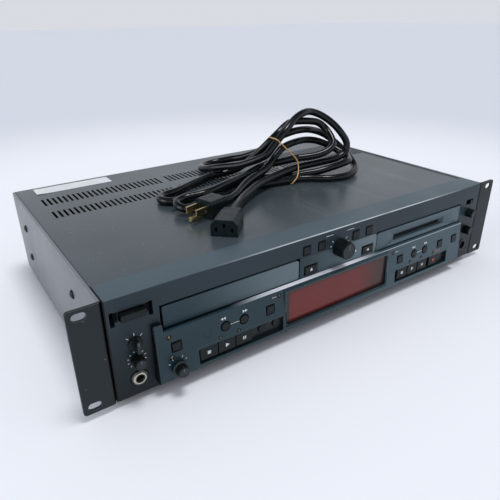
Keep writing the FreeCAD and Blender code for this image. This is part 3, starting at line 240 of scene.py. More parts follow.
class Finish(Nodes):
    """Material with one principled shader, built up over the object's own coordinates."""

    def __init__(self, name, colour, roughness, metallic=0.0, specular=0.5):
        self.material = bpy.data.materials.new(name)
        self.material.use_nodes = True
        super().__init__(self.material.node_tree)
        self.shader = self.tree.nodes["Principled BSDF"]
        own = self.add("ShaderNodeTexCoord").outputs
        self.place = own["Object"]
        self.flat_normal = own["Normal"]
        self.normal = None
        self.colour = linear(colour)
        self.values = {"Roughness": roughness, "Metallic": metallic}
        self.shader.inputs["Specular IOR Level"].default_value = specular
        self.put(self.shader.inputs["Base Color"], self.colour)
        for name, value in self.values.items():
            self.put(self.shader.inputs[name], value)

    def noise(self, scale, detail, stretch=(1, 1, 1)):
        place = self.place
        if stretch != (1, 1, 1):
            mapping = self.add("ShaderNodeMapping")
            mapping.inputs["Scale"].default_value = stretch
            self.put(mapping.inputs["Vector"], place)
            place = mapping.outputs[0]
        node = self.add("ShaderNodeTexNoise")
        node.inputs["Scale"].default_value = scale
        node.inputs["Detail"].default_value = detail
        self.put(node.inputs["Vector"], place)
        return node.outputs["Fac"]

    def cells(self, scale):
        """Cells of random outline, as the node's outputs."""
        node = self.add("ShaderNodeTexVoronoi", feature="F1")
        node.inputs["Scale"].default_value = scale
        self.put(node.inputs["Vector"], self.place)
        return node.outputs

    def tint(self, mask, colour, amount=1.0):
        """Mix another colour in where the mask is 1."""
        if amount != 1.0:
            mask = self.math("MULTIPLY", mask, amount)
        self.colour = self.mix("RGBA", mask, self.colour, linear(colour))
        self.put(self.shader.inputs["Base Color"], self.colour)
        return self

    def swap(self, name, mask, value):
        """Another Roughness or Metallic value where the mask is 1."""
        self.values[name] = self.mix("FLOAT", mask, self.values[name], value)
        self.put(self.shader.inputs[name], self.values[name])
        return self

    def mottled(self, colour, scale, amount=0.6):
        """Slow change of colour over the surface."""
        return self.tint(self.ramp(self.noise(scale, 4.0), PATCH_LOW, PATCH_HIGH, 0.0, amount), colour)

    def uneven(self, scale, roughness):
        """Polished and dull patches."""
        patches = self.ramp(self.noise(scale, 5.0), PATCH_LOW, PATCH_HIGH)
        return self.swap("Roughness", patches, roughness)

    def grain(self, scale, depth, strength):
        """Fine relief of the surface."""
        node = self.add("ShaderNodeBump")
        node.inputs["Strength"].default_value = strength
        node.inputs["Distance"].default_value = depth * MM
        self.put(node.inputs["Height"], self.noise(scale, 3.0))
        if self.normal is not None:
            self.put(node.inputs["Normal"], self.normal)
        self.normal = node.outputs["Normal"]
        self.put(self.shader.inputs["Normal"], self.normal)
        return self

    def eased(self, radius, colour=None, amount=0.6):
        """Edges rounded in shading, and rubbed to another colour."""
        bevel = self.add("ShaderNodeBevel", samples=4)
        bevel.inputs["Radius"].default_value = radius * MM
        self.normal = bevel.outputs["Normal"]
        self.put(self.shader.inputs["Normal"], self.normal)
        if colour is not None:
            flat = self.add("ShaderNodeNewGeometry").outputs["Normal"]
            edge = self.math("SUBTRACT", 1.0, self.vectors("DOT_PRODUCT", self.normal, flat))
            broken = self.both(edge, self.ramp(self.noise(160, 4.0), 0.3, 0.6, 0.4, 1.0))
            self.tint(self.ramp(broken, 0.02, 0.25, 0.0, amount), colour)
        return self

    def specks(self, scale, share, colour, amount):
        """Sparse small specks, such as dust, in a share of the cells."""
        cells = self.cells(scale)
        near = self.ramp(cells["Distance"], 0.1, 0.22, 1.0, 0.0)
        pick = self.add("ShaderNodeSeparateColor")
        self.put(pick.inputs[0], cells["Color"])
        chosen = self.math("LESS_THAN", pick.outputs[0], share)
        return self.tint(self.both(near, chosen), colour, amount)

    def along(self, direction, origin=(0, 0, 0)):
        """Distance from origin along a direction, in metres."""
        return self.vectors("DOT_PRODUCT", self.vectors("SUBTRACT", self.place, origin), direction)

    def waves(self, direction):
        """Sine along a direction, whose length is radians to the metre."""
        return self.math("SINE", self.along(direction))

    def rise(self, way, low, high, start=0.0, end=1.0):
        """From start to end between two places on the deck along one axis."""
        return self.ramp(self.along(way), on_axis(way, low), on_axis(way, high), start, end)

    def between(self, way, low, high, soft):
        """1 between two places along one axis, fading over a soft width inside each."""
        place = self.along(way)
        first = on_axis(way, low)
        last = on_axis(way, high)
        enter = self.ramp(place, first, first + soft * MM)
        leave = self.ramp(place, last - soft * MM, last, 1.0, 0.0)
        return self.both(enter, leave)

    def before(self, way, value):
        return self.math("LESS_THAN", self.along(way), on_axis(way, value))

    def past(self, way, value):
        return self.math("GREATER_THAN", self.along(way), on_axis(way, value))

    def facing(self, direction):
        """1 on surfaces that face a direction, 0 on those that stand across it."""
        return self.ramp(self.vectors("DOT_PRODUCT", self.flat_normal, direction), 0.7, 0.95)

    def about(self, x, z):
        """Distance from the line along y through a place on the panel, in metres."""
        centre = at(x, 0, z)
        return self.length_of(self.along(ACROSS, centre), self.along(UP, centre))

    def length_of(self, first, second):
        squares = self.math("ADD", self.math("POWER", first, 2.0), self.math("POWER", second, 2.0))
        return self.math("SQRT", squares)


# Painted sheen of the fascia: its way, and its reach along that way in metres
PAINTED_SHEEN_WAY = (0.9, 0, -0.7)
PAINTED_SHEEN_REACH = (-0.093, 0.105)

# Where finishes, painted light and painted shade change, from one place on the deck to another
BEZEL_PAINTED_SHADE = (4, 74)
BEZEL_PAINTED_LIGHT_TOP = (PANEL_HEIGHT - 0.6, PANEL_HEIGHT - 0.2)
BEZEL_RIM = (PANEL_HEIGHT - 1.1, PANEL_HEIGHT - 0.5)
BEZEL_RIM_DEPTH = (-0.6, 0.9)
RIM_HIGHLIGHT_SPAN = (-150, 215)
TROUGH_TOPS = (LEDGE_Z - 0.8, LEDGE_Z - 0.4)
LEDGE_SHADOW = (-1.0, -0.6)
LEDGE_SHADOW_NARROWS = (-120, -80)
LEDGE_EDGE = (LEDGE_Z - 0.5, LEDGE_Z + 0.2)
TRAY_PAINTED_SHEEN = (-165, -48)
MIDDLE_PAINTED_SHEEN = (-43, 48)
MIDDLE_EDGE = MIDDLE_LEFT - 0.2
BAND_PLATES = (LEDGE_Z + 0.1, BAND_TOP + 0.3)
SURROUND_EDGE = (MIDDLE_RIGHT + 0.1, MIDDLE_RIGHT + 0.6)
LEDGE_DEPTH = (-5.4, -0.2)
LEDGE_HIGHLIGHT_DEPTH = (-5.4, -3.9)
LEDGE_PAINTED_REFLECTION = (-120, 62)
LEDGE_HIGHLIGHT_SPAN = (40, 60)
KNOB_CAPS = (-7.6, -7.4)
EAR_BACK = (PLATE_THICKNESS + 0.2, PLATE_THICKNESS + 0.5)
EAR_ROOT = (-BODY_HALF + 0.5, -BODY_HALF + 0.7)
LENS_LEFT = (WINDOW_LEFT + 4.4, WINDOW_LEFT + 5.6)
LENS_RIGHT = (WINDOW_RIGHT - 44, WINDOW_RIGHT - 4)
LENS_HEIGHT = (WINDOW_BOTTOM - 3, WINDOW_TOP + 1)

# Width of the painted shade in the gap beside the left ear, and depths behind the fascia's face that
# count as sunk and get painted shade
EAR_GAP = 1.2
SUNK = (0.6 * MM, 1.2 * MM)


def slate_plastic():
    """Moulded bezel: painted shade low down and in the gap beside the left ear, a painted lighter top
    strip, rubbed edges, and a painted highlight along its top front edge.
    """
    finish = Finish("slate_plastic", "29353c", 0.34, specular=0.22)
    finish.mottled("303d45", 14).uneven(30, 0.42)
    finish.tint(finish.rise(UP, *BEZEL_PAINTED_SHADE, 0.9, 0.0), "10181c")
    finish.eased(0.7, "6d787e", 0.25)
    # Painted light on the top strip, which faces the lamp above
    finish.tint(finish.rise(UP, *BEZEL_PAINTED_LIGHT_TOP), "47565e")
    # Painted highlight along the top front edge, in broken stretches
    rim = finish.both(finish.between(DEEP, *BEZEL_RIM_DEPTH, 0.2), finish.rise(UP, *BEZEL_RIM))
    wear_and_highlight = finish.both(finish.between(ACROSS, *RIM_HIGHLIGHT_SPAN, 120),
                       finish.ramp(finish.noise(45, 4.0), 0.25, 0.55, 0.5, 0.95))
    finish.tint(finish.both(rim, wear_and_highlight), "c2c8cc")
    # Painted shade in the gap beside the left ear
    finish.tint(finish.before(ACROSS, -BEZEL_HALF + EAR_GAP), GAP_SHADE_BLACK)
    return finish.grain(2600, 0.03, 0.35).material


def panel_plastic():
    """Fascia and the plates above it, with a painted sheen towards the lower right."""
    finish = Finish("panel_plastic", "20343c", 0.3, specular=0.3)
    finish.mottled("293f47", 16).uneven(34, 0.38)
    finish.tint(finish.ramp(finish.along(PAINTED_SHEEN_WAY), *PAINTED_SHEEN_REACH), "4d626c", 0.6)
    finish.eased(0.6, "6d7f88", 0.4)
    shade_fascia(finish)
    shade_plates(finish)
    polish_and_paint_ledge_light(finish)
    return finish.grain(2600, 0.03, 0.3).material


def shade_fascia(finish):
    """Painted shade in the troughs, and painted shadows on the left wall, on the shoulder and along the
    back of the ledge.
    """
    behind = finish.along((0, 1, -FACE_SLOPE), at(0, -PROUD_AT_BOTTOM, FASCIA_BOTTOM))
    sunk = finish.ramp(behind, *SUNK)
    finish.tint(finish.both(sunk, finish.rise(UP, *TROUGH_TOPS, 0.93, 0.0)), "10171a")
    side_wall = finish.before(ACROSS, -FASCIA_HALF + 0.3)
    shoulder = finish.both(finish.past(UP, SHOULDER_TOP - 0.3),
                           finish.before(ACROSS, -FASCIA_HALF + SHOULDER_WIDTH + 0.4))
    narrows = finish.rise(ACROSS, *LEDGE_SHADOW_NARROWS, 1.4 * MM, 0.0)
    depth = finish.math("ADD", finish.along(DEEP), narrows)
    back = finish.ramp(depth, *(on_axis(DEEP, y) for y in LEDGE_SHADOW))
    ledge_back = finish.both(back, finish.between(UP, *LEDGE_EDGE, 0.2), finish.facing(UP))
    finish.tint(finish.either(ledge_back, side_wall, shoulder), "05080a", 0.92)


def shade_plates(finish):
    """Painted sheen on the tray front and middle plate, each lighter towards its right end."""
    tray = finish.both(finish.rise(ACROSS, *TRAY_PAINTED_SHEEN), finish.before(ACROSS, MIDDLE_EDGE))
    middle = finish.both(finish.rise(ACROSS, *MIDDLE_PAINTED_SHEEN), finish.past(ACROSS, MIDDLE_EDGE))
    plates = finish.both(finish.math("ADD", tray, middle), finish.between(UP, *BAND_PLATES, 0.2))
    weaker_right = finish.rise(ACROSS, *SURROUND_EDGE, 0.5, 0.2)
    finish.tint(finish.both(plates, weaker_right), "84959c")


def polish_and_paint_ledge_light(finish):
    """Polished ledge with a painted reflection in the middle, and a painted highlight line along its
    front at the right.
    """
    ledge = finish.both(finish.between(DEEP, *LEDGE_DEPTH, 0.4),
                        finish.rise(UP, LEDGE_Z - 0.5, LEDGE_Z - 0.2))
    broken = finish.ramp(finish.noise(20, 2.0), 0.3, 0.6, 0.6, 0.95)
    finish.tint(finish.both(ledge, finish.between(ACROSS, *LEDGE_PAINTED_REFLECTION, 50), broken), "e6e9f2")
    finish.swap("Roughness", ledge, 0.16)
    line = finish.both(finish.between(DEEP, *LEDGE_HIGHLIGHT_DEPTH, 0.4),
                       finish.rise(UP, LEDGE_Z - 0.6, LEDGE_Z - 0.3))
    finish.tint(finish.both(line, finish.rise(ACROSS, *LEDGE_HIGHLIGHT_SPAN, 0.0, 0.8)), "a9b6bd")


def key_plastic():
    """Keys and knobs: black at the sides, dark grey in front, lighter on the caps of the knobs."""
    finish = Finish("key_plastic", "090c0d", 0.3, specular=0.2)
    front = finish.facing(FORWARD)
    finish.tint(front, "171e20").mottled("1c2426", 90, 0.3).uneven(240, 0.42)
    finish.tint(finish.both(front, finish.rise(DEEP, *KNOB_CAPS, 1.0, 0.0)), "2b3336")
    finish.eased(0.3, "66706f", 0.5)
    return finish.grain(3200, 0.02, 0.25).material


def cover_paint():
    """Satin paint on the folded cover, with dust and faint rubs from front to back."""
    finish = Finish("cover_paint", "3b4449", 0.24)
    finish.mottled("454e53", 7, 0.8).uneven(9, 0.32)
    finish.tint(finish.ramp(finish.noise(60, 5.0, (1.0, 0.08, 1.0)), 0.6, 0.8, 0.0, 0.14), "7d8286")
    finish.specks(420, 0.03, "b9bcbb", 0.5).eased(0.6, "8a8f93", 0.5)
    return finish.grain(1500, 0.05, 0.3).material


def plate_metal():
    """Bare side plates with painted ears, the left ear's inner edge in shadow."""
    finish = Finish("plate_metal", "6c7076", 0.36, specular=0.3)
    finish.mottled("777b81", 12).uneven(20, 0.44)
    ear = finish.rise(DEEP, *EAR_BACK, 1.0, 0.0)
    finish.tint(ear, "1d2528").swap("Roughness", ear, 0.5)
    inner_edge = finish.both(finish.rise(ACROSS, *EAR_ROOT), finish.before(ACROSS, 0))
    finish.tint(finish.both(inner_edge, ear), GAP_SHADE_BLACK)
    finish.specks(300, 0.02, "a5a8a8", 0.4).eased(0.5, "9ea3a6", 0.6)
    return finish.grain(1500, 0.05, 0.3).material


def zinc_sheet():
    """Plated sheet with its spangle."""
    finish = Finish("zinc_sheet", "8c8f90", 0.36, metallic=1.0)
    grey = finish.add("ShaderNodeRGBToBW")
    finish.put(grey.inputs[0], finish.cells(170)["Color"])
    finish.tint(grey.outputs[0], "a9adad", 0.22)
    finish.uneven(60, 0.5).eased(0.4, "c0c3c3", 0.4)
    return finish.grain(900, 0.03, 0.3).material


def screw_metal():
    finish = Finish("screw_metal", "2b2d2f", 0.34, metallic=1.0)
    finish.mottled("404346", 400).eased(0.3, "8d8f90", 0.6)
    return finish.grain(2400, 0.03, 0.4).material


def foot_rubber():
    finish = Finish("foot_rubber", "1a1b1b", 0.75)
    finish.mottled("242525", 120).eased(0.6)
    return finish.grain(1800, 0.08, 0.5).material


def window_plastic():
    """Smoked red filter: red over the tube, brown at the rim, with slanting streaks."""
    finish = Finish("window_plastic", "332a26", 0.13, specular=0.35)
    wide = finish.both(finish.rise(ACROSS, *LENS_LEFT), finish.rise(ACROSS, *LENS_RIGHT, 1.0, 0.1))
    finish.tint(finish.both(wide, finish.between(UP, *LENS_HEIGHT, 7)), "712624")
    streaks = finish.both(finish.ramp(finish.waves((1320, 0, 1980)), -0.2, 1.0),
                          finish.ramp(finish.noise(35, 3.0), 0.35, 0.65))
    finish.tint(streaks, "6c2a2b", 0.35)
    finish.tint(finish.ramp(finish.waves((9000, 0, 9000)), 0.2, 1.0, 0.0, 0.12), "3a1a1a")
    finish.uneven(18, 0.2).eased(0.4)
    return finish.grain(60, 0.04, 0.3).material


def board_plastic():
    """Circuit board with tracks under green lacquer."""
    finish = Finish("board_plastic", "17442a", 0.35)
    bricks = finish.add("ShaderNodeTexBrick")
    bricks.inputs["Scale"].default_value = 90
    finish.put(bricks.inputs["Vector"], finish.place)
    finish.tint(bricks.outputs["Fac"], "2f6b3f", 0.6)
    finish.mottled("10351f", 60).eased(0.3)
    return finish.grain(700, 0.05, 0.4).material


def socket_metal():
    """Plated ring of the headphone jack in its dark bush."""
    finish = Finish("socket_metal", "cfc8b8", 0.22, metallic=1.0)
    radius = finish.about(LEFT_COLUMN, JACK_Z)
    dark = finish.either(finish.ramp(radius, (JACK_RING - 0.15) * MM, JACK_RING * MM),
                         finish.ramp(radius, JACK_HOLE * MM, (JACK_HOLE + 0.2) * MM, 1.0, 0.0))
    finish.tint(dark, "101214").swap("Metallic", dark, 0.0).swap("Roughness", dark, 0.4)
    finish.mottled("8a8b88", 300, 0.3).eased(0.4)
    return finish.grain(1600, 0.02, 0.3).material


def socket_plastic():
    finish = Finish("socket_plastic", "131516", 0.42)
    finish.mottled("1c1e1f", 120).uneven(200, 0.55).eased(0.4, "4c4f50", 0.3)
    return finish.grain(2200, 0.03, 0.35).material


def supply_iron():
    """Stacked laminations under lacquer."""
    finish = Finish("supply_iron", "3a3734", 0.45, metallic=0.6)
    finish.tint(finish.ramp(finish.waves((0, 9000, 0)), 0.0, 1.0, 0.0, 0.5), "1f1d1c")
    finish.mottled("54493a", 60).eased(0.5)
    return finish.grain(900, 0.06, 0.5).material


def lead_rubber():
    """Soft black sheath with a dusty bloom."""
    finish = Finish("lead_rubber", "080e10", 0.16, specular=0.36)
    finish.mottled("0d1416", 45, 0.8).uneven(70, 0.26)
    finish.specks(900, 0.02, "5b6264", 0.35)
    return finish.grain(900, 0.03, 0.25).material


PLUG_PLACE = at(-84, 93, COVER_TOP)
PLUG_WAY = (0.9613, 0.2756, 0)
PLUG_FACE = (-0.9 * MM, -0.4 * MM)
PIN_SIDE = (-21 * MM, -19 * MM)


def lead_ends():
    """Moulded plug and connector, with brass where the plug's pins stand out of its face."""
    finish = Finish("lead_ends", "10191c", 0.3, specular=0.2)
    finish.mottled("18242a", 90, 0.8).uneven(120, 0.4)
    ahead = finish.ramp(finish.along(PLUG_WAY, PLUG_PLACE), *PLUG_FACE, 1.0, 0.0)
    brass = finish.both(ahead, finish.ramp(finish.along(DEEP, PLUG_PLACE), *PIN_SIDE))
    finish.tint(brass, "cdbd8e").swap("Metallic", brass, 1.0).swap("Roughness", brass, 0.26)
    finish.eased(0.7, "4f5a5e", 0.25)
    return finish.grain(1800, 0.04, 0.35).material


def hub_plastic():
    finish = Finish("hub_plastic", "1e2021", 0.4)
    finish.mottled("2a2c2d", 80).uneven(120, 0.5).eased(0.4, "55585a", 0.3)
    return finish.grain(2200, 0.03, 0.35).material


def flap_plastic():
    finish = Finish("flap_plastic", "121516", 0.45)
    finish.mottled("1a1e1f", 90).eased(0.2)
    return finish.grain(2600, 0.03, 0.35).material


def printed(name, colour, wear_and_highlight="8b9092", specular=0.5):
    """Screen-printed ink, a little uneven; also the black of painted shade in gaps and recesses."""
    finish = Finish(name, colour, 0.5, specular=specular)
    finish.mottled(wear_and_highlight, 900, 0.25)
    return finish.grain(3000, 0.01, 0.3).material


def lamp_lens(name, colour):
    """Clear dome of an unlit lamp, darker in its depth."""
    finish = Finish(name, colour, 0.15)
    finish.mottled("2a0d0a", 900, 0.5)
    finish.shader.inputs["Coat Weight"].default_value = 0.6
    return finish.grain(1500, 0.02, 0.2).material


def band_rubber():
    finish = Finish("band_rubber", "c8975a", 0.5)
    finish.mottled("d9ad70", 300, 0.8)
    finish.shader.inputs["Subsurface Weight"].default_value = 0.1
    return finish.grain(2500, 0.04, 0.4).material


def label_paper():
    finish = Finish("label_paper", "d9dcdf", 0.5)
    finish.mottled("c9ccd0", 60).specks(700, 0.03, "9a9c9e", 0.4)
    return finish.grain(1800, 0.03, 0.3).material


FINISHES = [slate_plastic, panel_plastic, key_plastic, cover_paint, plate_metal, zinc_sheet, screw_metal,
            foot_rubber, window_plastic, board_plastic, socket_metal, socket_plastic, supply_iron,
            lead_rubber, lead_ends, hub_plastic, flap_plastic]


def dress_frame():
    """Give every CAD node the finish of its material slot."""
    finishes = {make.__name__: make() for make in FINISHES}
    for part in frame["record"]["subparts"]:
        node = frame["nodes"][part["node"]]
        for slot in node.material_slots:
            slot.material = finishes[part["material_slot"]]
    return finishes


def piece(name, data, material, body):
    """Object that rides on a body of the frame."""
    made = bpy.data.objects.new(name, data)
    bpy.context.scene.collection.objects.link(made)
    data.materials.append(material)
    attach(made, body)
    return made


# Control points of the lead's centre line, from the connector to the plug
LEAD = [
    (-51.3, 86.3, 95.0), (-44.0, 93.5, 95.0), (-34.0, 101.5, 95.5), (-18.0, 111.5, 96.5),
    (-1.3, 121.0, 98.0), (25.3, 129.7, 98.8), (52.2, 135.0, 100.6), (64.5, 135.6, 101.3),
    (88.3, 132.5, 102.5), (119.0, 128.5, 104.0), (132.6, 128.5, 110.0), (135.0, 129.5, 121.0),
    (128.1, 134.4, 133.0), (122.6, 142.4, 142.5), (113.3, 153.1, 152.0), (98.1, 157.4, 158.0),
    (81.8, 152.0, 158.0), (68.2, 149.3, 153.5), (50.0, 141.9, 144.0), (40.0, 142.0, 135.0),
    (33.0, 143.5, 127.5), (27.0, 144.0, 120.0), (20.5, 150.0, 115.0), (14.0, 158.0, 110.5),
    (6.2, 168.9, 105.5), (-2.5, 181.8, 102.5), (-10.5, 196.0, 99.5), (-16.0, 212.0, 94.5),
    (-14.0, 228.0, 92.5), (2.0, 240.0, 91.6), (18.0, 239.0, 92.5), (32.0, 230.0, 95.5),
    (41.9, 216.3, 99.0), (52.8, 203.3, 106.0), (57.6, 185.0, 117.0), (55.0, 168.0, 129.0),
    (62.0, 157.0, 136.0), (78.0, 157.0, 138.0), (97.0, 160.4, 136.5), (114.5, 163.5, 132.0),
    (127.5, 160.5, 126.0), (136.5, 152.0, 117.0), (142.5, 141.0, 107.5), (143.5, 129.0, 99.0),
    (138.0, 116.0, 94.0), (125.0, 106.0, 91.8), (109.0, 101.0, 91.3), (94.0, 102.0, 91.3),
    (82.0, 107.0, 91.3), (74.0, 114.0, 91.3), (66.0, 121.0, 91.3), (54.0, 126.0, 91.3),
    (39.3, 127.6, 91.3), (18.6, 131.6, 91.3), (-4.5, 133.3, 91.3), (-31.0, 128.1, 91.3),
    (-56.6, 121.4, 91.3), (-70.0, 115.0, 91.3), (-81.0, 109.0, 92.0), (-91.5, 106.5, 93.0),
    (-99.5, 113.5, 94.5), (-98.0, 125.5, 96.0), (-86.0, 130.0, 97.0), (-76.0, 127.0, 98.0),
    (-66.0, 124.0, 99.0), (-51.5, 127.5, 99.8), (-32.0, 134.5, 100.6), (-1.5, 147.0, 100.0),
    (17.9, 155.7, 101.5), (32.1, 158.5, 104.0), (42.8, 152.5, 105.5), (52.2, 145.0, 108.5),
    (61.7, 136.2, 112.0), (71.0, 132.1, 112.5), (79.5, 128.7, 113.0), (92.5, 125.4, 115.0),
    (103.7, 125.0, 119.0), (110.7, 128.0, 123.0), (114.2, 135.5, 129.0), (115.0, 146.6, 137.0),
    (107.0, 152.0, 145.0), (91.8, 152.0, 148.0), (79.6, 154.7, 149.0), (70.7, 157.7, 148.5),
    (62.3, 157.5, 146.0), (48.0, 153.0, 139.5), (37.0, 154.5, 131.0), (30.3, 161.5, 121.0),
    (24.4, 172.0, 109.0), (15.0, 184.5, 97.0), (3.4, 193.0, 91.8), (-22.1, 193.6, 91.3),
    (-53.2, 179.7, 91.3), (-70.0, 170.5, 91.3), (-82.0, 166.0, 91.3), (-94.0, 164.5, 91.3),
    (-102.5, 154.0, 91.3), (-96.0, 141.5, 91.3), (-81.0, 139.5, 91.3), (-54.2, 148.0, 91.3),
    (-36.7, 150.5, 91.3), (-20.2, 149.0, 91.3), (1.6, 152.1, 91.5), (22.0, 151.7, 91.6),
    (40.5, 144.0, 91.8), (52.5, 134.0, 92.0), (66.6, 128.0, 94.8), (79.2, 121.5, 96.0),
    (94.0, 117.6, 98.5), (109.7, 116.0, 100.8), (122.0, 116.8, 101.8), (131.5, 120.5, 101.5),
    (136.2, 128.8, 102.0), (134.5, 139.5, 107.5), (130.0, 149.0, 112.0), (123.0, 156.5, 116.5),
    (113.5, 161.5, 120.5), (102.0, 164.5, 122.5), (88.0, 163.0, 123.5), (70.0, 158.0, 123.5),
    (56.0, 154.5, 121.5), (45.0, 151.5, 116.0), (35.0, 147.5, 109.5), (25.0, 143.0, 105.0),
    (14.0, 138.5, 103.0), (2.0, 133.0, 102.5), (-12.0, 127.0, 100.5), (-26.0, 118.0, 98.0),
    (-38.0, 108.5, 96.3), (-49.4, 103.1, 96.0),
]
LEAD_DIAMETER = 0.0082

# Rubber band round the waist of the hank
RUBBER_BAND = [
    (37.6, 155.5, 135.9), (37.0, 148.0, 135.9), (35.8, 140.0, 136.4), (37.0, 138.2, 135.2),
    (46.0, 136.2, 126.0), (57.0, 133.6, 115.4), (60.6, 132.2, 110.0), (60.8, 130.4, 103.0),
    (58.0, 127.0, 97.2), (52.5, 122.6, 93.8), (47.0, 120.4, 91.8), (44.4, 121.2, 88.6),
    (45.6, 125.0, 87.9), (47.0, 133.0, 87.8), (47.0, 141.0, 90.0), (40.0, 160.0, 118.0),
    (36.6, 160.5, 130.5),
]
RUBBER_BAND_RADIUS = 0.0007


def smooth_line(name, points, radius, closed=False):
    """Curve data of one smooth round strand with these control points."""
    data = bpy.data.curves.new(name, "CURVE")
    data.dimensions = "3D"
    data.bevel_depth = radius
    data.bevel_resolution = 5
    data.resolution_u = 10
    data.use_fill_caps = True
    spline = data.splines.new("NURBS")
    spline.points.add(len(points) - 1)
    for point, place in zip(spline.points, points):
        point.co = (*at(*place), 1.0)
    spline.order_u = 3
    spline.use_endpoint_u = not closed
    spline.use_cyclic_u = closed
    return data


def make_lead(finishes):
    """The tied mains lead and its band, between the connector and the plug."""
    data = smooth_line("lead", LEAD, LEAD_DIAMETER / 2)
    lead = piece("lead", data, finishes["lead_rubber"], "deck")
    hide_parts("lead_hank", "lead_cable")
    band_data = smooth_line("lead_band", RUBBER_BAND, RUBBER_BAND_RADIUS, closed=True)
    band = piece("lead_band", band_data, band_rubber(), "deck")


def loft(mesh, rings):
    """Solid through rings of places on the deck, closed by a flat face at each end."""
    count = len(rings[0])
    corners = [[mesh.verts.new(at(*place)) for place in ring] for ring in rings]
    for first, second in zip(corners, corners[1:]):
        for i in range(count):
            j = (i + 1) % count
            mesh.faces.new((first[i], first[j], second[j], second[i]))
    mesh.faces.new(corners[0][::-1])
    mesh.faces.new(corners[-1])


def turned(mesh, centre, axes, profile, count):
    """Solid turned about the first of three axes, from (radius, height) points."""
    out, first, second = axes
    rings = []
    for radius, height in profile:
        ring = []
        for i in range(count):
            a = math.tau * i / count
            shift = out * height + (first * math.cos(a) + second * math.sin(a)) * radius
            ring.append([middle + step for middle, step in zip(centre, shift)])
        rings.append(ring)
    loft(mesh, rings)


def to_data(name, mesh):
    """Mesh data of the faces drawn so far, after which the drawing is freed."""
    data = bpy.data.meshes.new(name)
    mesh.to_mesh(data)
    mesh.free()
    return data


def turn_outwards(mesh):
    bmesh.ops.recalc_face_normals(mesh, faces=mesh.faces[:])


# Printed marks
INK = 0.05
TICK_WIDTH = 0.5
DISC_SIDES = 20
RING_SIDES = 28
# Corners of an arrow: angle from its way, and share of its size
ARROW_CORNERS = ((0, 0.62), (125, 0.7), (235, 0.7))


class Marks:
    """Thin flat shapes on faces that look forward, gathered into one mesh."""

    def __init__(self):
        self.mesh = bmesh.new()

    def shape(self, corners, face):
        """Flat shape through (x, z) corners, on the face whose front is at face(z)."""
        loft(self.mesh, [[(x, face(z) + ink, z) for x, z in corners] for ink in (-INK, INK)])

    def bar(self, x, z, width, height, face):
        w = width / 2
        h = height / 2
        self.shape([(x - w, z - h), (x + w, z - h), (x + w, z + h), (x - w, z + h)], face)

    def triangle(self, x, z, size, way, face):
        """Triangle that points right for way 0, up for 90 and left for 180."""
        turn = math.radians(way)
        corners = []
        for angle, reach in ARROW_CORNERS:
            a = turn + math.radians(angle)
            corners.append((x + size * reach * math.cos(a), z + size * reach * math.sin(a)))
        self.shape(corners, face)

    def ticks(self, x, z, inner, outer, angles, face):
        """Short lines set radially round a knob."""
        for angle in angles:
            a = math.radians(angle)
            along = Vector((math.cos(a), math.sin(a)))
            side = Vector((-math.sin(a), math.cos(a))) * TICK_WIDTH / 2
            middle = Vector((x, z))
            corners = [middle + along * inner - side, middle + along * outer - side,
                       middle + along * outer + side, middle + along * inner + side]
            self.shape([(c.x, c.y) for c in corners], face)

    def disc(self, x, z, radius, face):
        angles = [math.tau * i / DISC_SIDES for i in range(DISC_SIDES)]
        self.shape([(x + radius * math.cos(a), z + radius * math.sin(a)) for a in angles], face)

    def ring(self, x, z, inner, outer, face):
        for i in range(RING_SIDES):
            a = math.tau * i / RING_SIDES
            b = math.tau * (i + 1) / RING_SIDES
            self.shape([(x + radius * math.cos(angle), z + radius * math.sin(angle))
                        for radius, angle in ((inner, a), (outer, a), (outer, b), (inner, b))], face)

    def border(self, x, z, width, height, gap, line, face):
        """Four bars round an opening that leaves a gap round a key."""
        w = width / 2 + gap
        h = height / 2 + gap
        for side in (-1, 1):
            self.bar(x + side * (w + line / 2), z, line, 2 * (h + line), face)
            self.bar(x, z + side * (h + line / 2), 2 * w, line, face)

    def finish(self, name, material, body):
        turn_outwards(self.mesh)
        return piece(name, to_data(name, self.mesh), material, body)


# Ticks round the knobs: middle, inner and outer radius, angles in degrees and face
KNOB_TICKS = [
    (LEFT_COLUMN, SELECTOR_Z, 6.4, 8.6, (135, 90, 45), rack_face),
    (LEFT_COLUMN, LEVEL_Z, 6.2, 7.5, range(-45, 226, 30), rack_face),
    (PITCH_X, PITCH_Z, 7.5, 9.0, (30, 60, 120, 150), fascia_face),
    (DIAL_X, DIAL_Z, 9.8, 12.2, (165, 140, 40, 15), rack_face),
]
# Printed lines: middle, length, thickness and face
PANEL_LINES = [
    (-10.0, 83.0, 9.0, 0.4, rack_face), (15.5, 83.0, 9.0, 0.4, rack_face),
    (-75.2, 44.8, 4.6, 0.4, fascia_face), (78.6, 44.2, 4.6, 0.4, fascia_face),
    (-115.3, 35.6, 9.4, 0.35, fascia_face), (114.6, UPPER_ROW, 8.8, 0.35, fascia_face),
]
# Double arrows over the search keys: middle and way
SEARCH_ARROWS = [(-125.6, 42.9, 180), (-105.2, 42.9, 0), (105.0, 42.0, 180), (124.0, 42.0, 0)]
ARROW_SHIFT = 1.2
ARROW_SIZE = 2.2
DIAL_ARROW = (24.4, 58.6, 2.6)


def panel_marks(white):
    """Ticks, lines and arrows printed on the bezel and the fascia."""
    marks = Marks()
    for x, z, inner, outer, angles, face in KNOB_TICKS:
        marks.ticks(x, z, inner, outer, angles, face)
    for x, z, length, thickness, face in PANEL_LINES:
        marks.bar(x, z, length, thickness, face)
    x, z, size = DIAL_ARROW
    marks.triangle(x, z, size, 90, rack_face)
    for x, z, way in SEARCH_ARROWS:
        for shift in (-ARROW_SHIFT, ARROW_SHIFT):
            marks.triangle(x + shift, z, ARROW_SIZE, way, fascia_face)
    marks.finish("panel_marks", white, "deck")


